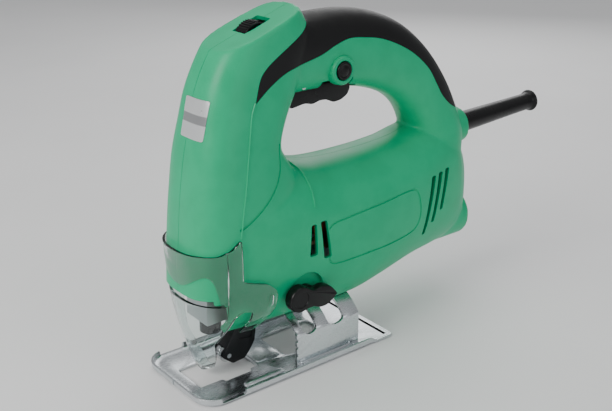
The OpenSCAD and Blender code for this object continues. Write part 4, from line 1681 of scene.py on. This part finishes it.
@dataclass
class Controls:
    """Trigger, lock button, speed dial and orbit knob.

    Attributes:
        trigger_line: side outline of the trigger in x and z.
    """

    trigger_line: Table = field(default_factory=lambda: [
        (60, 172), (57, 168), (55, 160), (60, 160.5), (66, 161.5), (72, 160), (78, 161.5),
        (83, 161), (88, 158.5), (94, 159), (99, 161.5), (101, 165), (101, 170), (66, 172)])

    def knob(self, mats: dict) -> None:
        """Orbit knob with a round lobe, a waist and a pointed lobe, on a round base.

        Args:
            mats: materials by slot.
        """
        lobe = [(-9 + 8.4 * math.cos(a), 8.4 * math.sin(a))
                for a in (math.radians(62 + 236 * k / 30) for k in range(31))]
        nose = [(-2.5, -6.6), (1.5, -6.2), (7, -7.4), (13, -6.0), (18.6, -0.8), (18.8, 0.8),
                (13.6, 5.4), (7.5, 6.8), (1.5, 5.4), (-2.0, 5.8)]
        curve = smooth_path([(x, z, 0.0) for x, z in nose], 5)
        outline = lobe + [(p[0], p[1]) for p in curve]
        turn = math.radians(-8)
        placed = [(50 + x * math.cos(turn) - z * math.sin(turn),
                   50 + x * math.sin(turn) + z * math.cos(turn)) for x, z in outline]

        def inset(d: float) -> list[tuple[float, float]]:
            n = len(placed)
            out = []
            for i, (x, z) in enumerate(placed):
                (ax, az), (bx, bz) = placed[i - 2], placed[(i + 2) % n]
                length = math.hypot(bx - ax, bz - az)
                out.append((x - d * (bz - az) / length, z + d * (bx - ax) / length))
            return out

        rows = [(0.4, -31.4), (0.1, -31.7), (0.02, -32.2), (0.15, -36.0), (0.3, -36.8),
                (0.55, -37.25), (0.85, -37.38)]
        knob = skin("orbit_knob", [[(x, y, z) for x, z in inset(d)] for d, y in rows])
        combine(knob, lathe("knob base", [(6, 27.9), (6, 31.8)], KNOB_PLACE, 64), Cut.PLUS)
        dimple = lathe("dimple", [(5.2, 37.0), (5.5, 37.6), (6, 39)],
                       facing((50 - 9 * math.cos(turn), 0, 50 - 9 * math.sin(turn)),
                              (0, -1, 0)), 64)
        combine(knob, dimple, Cut.MINUS)
        place_piece(knob, mats, "black_plastic", "orbit", "orbit_lever")

    def button(self, mats: dict) -> None:
        """Lock button with a domed cap and a ringed face.

        Args:
            mats: materials by slot.
        """
        profile = [(2.0, 0.0), (2.0, 6.9), (5.5, 7.0), (5.5, 19.6), (5.2, 20.2), (4.4, 20.36),
                   (4.0, 20.1), (3.4, 20.05), (3.0, 20.3), (0.4, 20.38)]
        piece = lathe("lock_cap", profile, BUTTON_PLACE, 72)
        place_piece(piece, mats, "black_plastic", "lock", "lock_button")

    def trigger(self, mats: dict) -> None:
        """Trigger with a wavy underside and rounded edges.

        Args:
            mats: materials by slot.
        """
        sharp = [(c[0], c[1]) for c in self.trigger_line]
        piece = prism_y("trigger_paddle", round_corners(sharp, 1.8, 4), -8.5, 8.5)
        pivot = lathe("pivot", [(3.95, -8.4), (3.95, 8.4)], PIVOT_PLACE, 48)
        combine(piece, pivot, Cut.PLUS)
        combine(piece, lathe("pivot bore", [(1.6, -20), (1.6, 20)], PIVOT_PLACE, 32), Cut.MINUS)
        bevel(piece, 0.9, 3, 50)
        place_piece(piece, mats, "black_plastic", "trigger_body", "trigger")

    def dial(self, mats: dict) -> None:
        """Speed dial with a knurled rim, its teeth set round by a node tree.

        Args:
            mats: materials by slot.
        """
        wheel = lathe("speed_wheel", [(8.8, -5), (9.3, -4.4), (9.3, 4.4), (8.8, 5)],
                      Matrix.Identity(4), 144)
        repeat_round(wheel, 36, 9.45, (0.75, 0.5, 8.6))
        bore = lathe("dial bore", [(1.6, -9), (1.6, 9)], Matrix.Identity(4), 32)
        combine(wheel, bore, Cut.MINUS)
        place = Matrix.Translation((0.0355, 0, 0.2035)) @ Matrix.Rotation(math.pi / 2, 4, "X")
        wheel.data.transform(place)
        place_piece(wheel, mats, "black_plastic", "dial", "speed_dial")

    def build(self, mats: dict) -> None:
        """Builds the controls.

        Args:
            mats: materials by slot.
        """
        self.knob(mats)
        self.button(mats)
        self.trigger(mats)
        self.dial(mats)


def socket_key(tree: bpy.types.NodeTree, name: str) -> str:
    """Identifier of a named group input.

    Args:
        tree: the node tree.
        name: name of the input.

    Returns:
        The identifier.
    """
    for item in tree.interface.items_tree:
        if item.item_type == "SOCKET" and item.in_out == "INPUT" and item.name == name:
            return item.identifier
    raise KeyError(name)


def ring_tree() -> bpy.types.NodeTree:
    """Node tree that sets small blocks round the z axis and joins them to the input.

    Returns:
        The node group.
    """
    tree = bpy.data.node_groups.new("blocks in a ring", "GeometryNodeTree")
    face = tree.interface
    face.new_socket("Geometry", in_out="INPUT", socket_type="NodeSocketGeometry")
    face.new_socket("Count", in_out="INPUT", socket_type="NodeSocketInt")
    face.new_socket("Radius", in_out="INPUT", socket_type="NodeSocketFloat")
    face.new_socket("Block", in_out="INPUT", socket_type="NodeSocketVector")
    face.new_socket("Material", in_out="INPUT", socket_type="NodeSocketMaterial")
    face.new_socket("Geometry", in_out="OUTPUT", socket_type="NodeSocketGeometry")
    g = Graph(tree)
    given, result = g.add("NodeGroupInput"), g.add("NodeGroupOutput")
    circle = g.add("GeometryNodeMeshCircle", {"Vertices": given.outputs["Count"],
                                              "Radius": given.outputs["Radius"]})
    cube = g.add("GeometryNodeMeshCube", {"Size": given.outputs["Block"]})
    place = g.add("GeometryNodeInputPosition").outputs[0]
    aim = g.add("FunctionNodeAlignRotationToVector", {"Vector": place}, axis="X")
    copies = g.add("GeometryNodeInstanceOnPoints", {
        "Points": circle.outputs[0], "Instance": cube.outputs[0], "Rotation": aim.outputs[0]})
    real = g.add("GeometryNodeRealizeInstances", {0: copies.outputs[0]})
    both = g.add("GeometryNodeJoinGeometry")
    tree.links.new(real.outputs[0], both.inputs[0])
    tree.links.new(given.outputs["Geometry"], both.inputs[0])
    skinned = g.add("GeometryNodeSetMaterial", {"Geometry": both.outputs[0],
                                                "Material": given.outputs["Material"]})
    tree.links.new(skinned.outputs[0], result.inputs[0])
    return tree


def repeat_round(obj: bpy.types.Object, count: int, radius: float, size: Point,
                 material: bpy.types.Material | None = None) -> bpy.types.Object:
    """Adds a ring of small blocks to a piece with the ring tree.

    Args:
        obj: the piece, its axis along z through the origin.
        count: number of blocks.
        radius: distance of the blocks from the axis.
        size: size of a block along the radius, round the rim and along the axis.
        material: material of the piece.

    Returns:
        obj, with the blocks made real.
    """
    tree = bpy.data.node_groups.get("blocks in a ring") or ring_tree()
    modifier = obj.modifiers.new("ring", "NODES")
    modifier.node_group = tree
    modifier[socket_key(tree, "Count")] = count
    modifier[socket_key(tree, "Radius")] = radius * MM
    modifier[socket_key(tree, "Block")] = tuple(c * MM for c in size)
    modifier[socket_key(tree, "Material")] = material
    return bake(obj)


# ---------------------------------------------------------------- small pieces


@dataclass
class Fittings:
    """Roller arm, cord guard and dust socket."""

    arm_line: Table = field(default_factory=lambda: [
        (19, 50), (31, 50), (31, 40), (30, 26), (28.6, 15), (25, 9.5), (21, 5), (12, 4.2),
        (5, 10), (5.5, 12.5), (12, 24), (18, 36)])

    def arm(self, mats: dict) -> None:
        """Stamped roller arm with rounded edges and its pin hole.

        Args:
            mats: materials by slot.
        """
        arm = prism_y("guide_arm", round_corners(self.arm_line, 1.4, 4), -5.5, 5.5)
        bevel(arm, 0.5, 2, 40)
        place = facing((25, 0, 46), (0, 1, 0))
        combine(arm, lathe("arm bore", [(2.6, -20), (2.6, 20)], place, 40), Cut.MINUS)
        roller = facing((9.2, 0, 10.4), (0, 1, 0))
        combine(arm, lathe("fork", [(5.8, -3.2), (5.8, 3.2)], roller, 48), Cut.MINUS)
        combine(arm, block("fork mouth", (-2, -3.2, 3), (9, 3.2, 16)), Cut.MINUS)
        combine(arm, lathe("roller bore", [(1.55, -20), (1.55, 20)], roller, 32), Cut.MINUS)
        for side in (-1, 1):
            y0, y1 = sorted((side * 5.0, side * 7))
            groove = round_corners([(15, 20), (26, 18), (27, 34), (20, 34)], 2.0)
            combine(arm, prism_y("web", groove, y0, y1), Cut.MINUS)
        place_piece(arm, mats, "black_steel", "arm", "roller_arm")

    def cord_guard(self, mats: dict) -> None:
        """Tapered bend guard with its lip and its anchor inside the housing.

        Args:
            mats: materials by slot.
        """
        profile = [(3.65, -13.9), (9.8, -13.9), (9.8, -9.2), (7.3, -9.1), (7.3, 2.4), (7.2, 3.0)]
        profile += [(6.05, 70.0), (6.1, 75.0), (6.7, 76.2), (7.5, 77.0), (7.75, 77.8),
                    (7.6, 78.6), (6.9, 78.95), (4.6, 78.9), (3.65, 78.2)]
        tilt = math.radians(2.5)
        piece = lathe("bend_guard", profile,
                      facing((205, 0, 120.5), (math.cos(tilt), 0, math.sin(tilt))), 64)
        bm = bmesh.new()
        bm.from_mesh(piece.data)
        caps = [f for f in bm.faces if len(f.verts) > 4]
        bmesh.ops.delete(bm, geom=caps, context="FACES_ONLY")
        edges = [e for e in bm.edges if len(e.link_faces) == 1]
        bmesh.ops.bridge_loops(bm, edges=edges)
        bmesh.ops.recalc_face_normals(bm, faces=bm.faces)
        bm.to_mesh(piece.data)
        bm.free()
        place_piece(piece, mats, "black_plastic", "housing", "cord_guard")

    def dust_socket(self, mats: dict) -> None:
        """Liner of the dust outlet with a chamfered mouth.

        Args:
            mats: materials by slot.
        """
        profile = [(13.6, 0), (14.9, 0), (14.9, 33.6), (14.5, 34.3), (14.1, 34.4), (13.6, 33.6)]
        rings = lathe("dust_liner", profile + [profile[0]], facing((172, 0, 57), (1, 0, 0)), 96)
        bm = bmesh.new()
        bm.from_mesh(rings.data)
        bmesh.ops.delete(bm, geom=[f for f in bm.faces if len(f.verts) > 4], context="FACES_ONLY")
        bmesh.ops.remove_doubles(bm, verts=bm.verts, dist=1e-6)
        bmesh.ops.recalc_face_normals(bm, faces=bm.faces)
        bm.to_mesh(rings.data)
        bm.free()
        place_piece(rings, mats, "green_plastic", "housing", "dust_socket")

    def build(self, mats: dict) -> None:
        """Builds the small pieces.

        Args:
            mats: materials by slot.
        """
        self.arm(mats)
        self.cord_guard(mats)
        self.dust_socket(mats)


@dataclass(frozen=True)
class Coil:
    """Compression spring wound as one wire.

    Attributes:
        name: piece name.
        node: the node that it stands for.
        start: centre of the fixed end.
        direction: unit direction from the fixed to the free end.
        length: free length of the coil's centre line.
        radius: coil radius.
        wire: wire diameter.
        turns: number of turns.
        joint: the joint that presses it; not used.
        keep: share of the length left at the joint's limit; not used.
    """

    name: str
    node: str
    start: Point
    direction: Point
    length: float
    radius: float
    wire: float
    turns: float
    joint: str
    keep: float

    def build(self, mats: dict) -> None:
        """Builds the spring.

        Args:
            mats: materials by slot.
        """
        place = facing(self.start, self.direction)
        steps = round(self.turns * 28)
        path = []
        for i in range(steps + 1):
            u = i / steps
            angle = 2 * math.pi * self.turns * u
            rise = self.length * (u * u * (3 - 2 * u) * 0.35 + u * 0.65)
            path.append(tuple(place @ Vector((
                self.radius * math.cos(angle), self.radius * math.sin(angle), rise))))
        coil = tube(self.name, path, self.wire / 2, 10)
        place_piece(coil, mats, "spring_steel", "housing", self.node)
        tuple(self.direction)
        [c * MM for c in self.start]
        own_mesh(coil)


SPRINGS = (
    Coil("trigger_coil", "trigger_spring", (96, 0, 180.3), (0, 0, -1), 9.2, 2.6, 0.7, 5,
         "trigger_squeeze", 0.52),
    Coil("lock_coil", "lock_spring", (87, -2.2, 180), (0, -1, 0), 3.9, 2.9, 0.6, 4,
         "lock_press", 0.5),
)


def finish_frame_nodes(mats: dict) -> None:
    """Gives every node that keeps its own shape the finish of its slot.

    Args:
        mats: materials by slot.
    """
    slots = {row["node"]: row["material_slot"] for row in frame["record"]["subparts"]}
    for name, obj in frame["nodes"].items():
        material = mats.get(slots.get(name, ""))
        if material is not None and obj.type == "MESH":
            obj.data.materials.clear()
            obj.data.materials.append(material)


# ---------------------------------------------------------------- stage


@dataclass(frozen=True)
class AreaLamp:
    """Soft box.

    Attributes:
        name: lamp name.
        position: where it hangs, in metres.
        size: edge length in metres.
        power: watts.
        colour: light colour.
    """

    name: str
    position: Point
    size: float
    power: float
    colour: Point = (1.0, 1.0, 1.0)

    def build(self, target: Vector) -> bpy.types.Object:
        """Hangs the lamp.

        Args:
            target: the point that it shines at.

        Returns:
            The lamp.
        """
        data = bpy.data.lights.new(self.name, "AREA")
        data.shape = "SQUARE"
        data.size = self.size
        data.energy = self.power
        data.color = self.colour
        obj = bpy.data.objects.new(self.name, data)
        obj.location = self.position
        obj.rotation_euler = (target - Vector(self.position)).to_track_quat("-Z", "Y").to_euler()
        bpy.context.scene.collection.objects.link(obj)
        return obj


@dataclass
class Studio:
    """Pale floor, soft boxes, sky and camera.

    Attributes:
        target: what the camera looks at, in metres.
        eye: where the camera stands, in metres.
        lens: focal length in millimetres.
    """

    target: Point = (0.07375, 0.0, 0.09228)
    eye: Point = (-0.28805, -0.455, 0.3233)
    lens: float = 58.82

    def floor(self) -> bpy.types.Object:
        """Plain pale floor.

        Returns:
            The object.
        """
        size = 6.0
        mesh = bpy.data.meshes.new("floor")
        mesh.from_pydata([(-size, -size, 0), (size, -size, 0), (size, size, 0), (-size, size, 0)],
                         [], [(0, 1, 2, 3)])
        obj = bpy.data.objects.new("floor", mesh)
        obj.location.z = -0.0002
        bpy.context.scene.collection.objects.link(obj)
        material, g = open_material("floor")
        where = g.add("ShaderNodeTexCoord").outputs["Object"]
        cloud = g.noise(where, 3.0, 3.0)
        colour = g.mix(g.ramp(cloud, 0.3, 0.7), (0.86, 0.86, 0.86, 1), (0.90, 0.90, 0.90, 1))
        fine = g.noise(where, 900.0, 2.0)
        bump = g.add("ShaderNodeBump", {"Height": fine, "Strength": 0.03, "Distance": 0.001})
        g.surface({"Base Color": colour, "Roughness": 0.6, "Normal": bump.outputs["Normal"]})
        mesh.materials.append(material)
        return obj

    def sky(self) -> None:
        """Even pale surroundings, a little darker towards the ground."""
        world = bpy.data.worlds.new("studio")
        bpy.context.scene.world = world
        world.use_nodes = True
        world.node_tree.nodes.clear()
        g = Graph(world.node_tree)
        where = g.add("ShaderNodeTexCoord").outputs["Generated"]
        up = g.add("ShaderNodeSeparateXYZ", {0: where}).outputs["Z"]
        colour = g.mix(g.ramp(up, -0.3, 0.7), (0.55, 0.56, 0.58, 1), (0.95, 0.96, 0.98, 1))
        light = g.add("ShaderNodeBackground", {"Color": colour, "Strength": 0.44})
        g.add("ShaderNodeOutputWorld", {"Surface": light.outputs[0]})

    def build(self) -> None:
        """Builds the stage and the camera."""
        target = Vector(self.target)
        lamps = [
            AreaLamp("key", (-0.95, -0.10, 0.75), 0.6, 9.0, (1.0, 0.985, 0.96)),
            AreaLamp("fill", (0.25, -1.15, 0.50), 0.8, 2.2, (0.95, 0.98, 1.0)),
            AreaLamp("top", (0.25, 0.25, 1.1), 0.9, 3.5),
            AreaLamp("rim", (0.8, 0.6, 0.5), 0.6, 2.0),
        ]
        objects = [self.floor()] + [lamp.build(target) for lamp in lamps]
        self.sky()
        data = bpy.data.cameras.new("camera")
        data.lens = self.lens
        data.sensor_width = 36.0
        data.clip_start = 0.01
        camera = bpy.data.objects.new("camera", data)
        camera.location = self.eye
        camera.rotation_euler = (target - Vector(self.eye)).to_track_quat("-Z", "Y").to_euler()
        bpy.context.scene.collection.objects.link(camera)
        bpy.context.scene.camera = camera


def main() -> None:
    """Builds the scene."""
    logging.basicConfig(level=logging.INFO, format="%(name)s: %(message)s")
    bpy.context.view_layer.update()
    shared = Shared(make_grain_group(), make_wear_group(), make_dust_group())
    mats = {slot: finish.build(shared) for slot, finish in FINISHES.items()}
    finish_frame_nodes(mats)
    Housing().build(mats)
    Base().build(mats)
    Guard().build(mats)
    Controls().build(mats)
    Fittings().build(mats)
    for spring in SPRINGS:
        spring.build(mats)
    Studio().build()


if __name__ == "__main__":
    main()
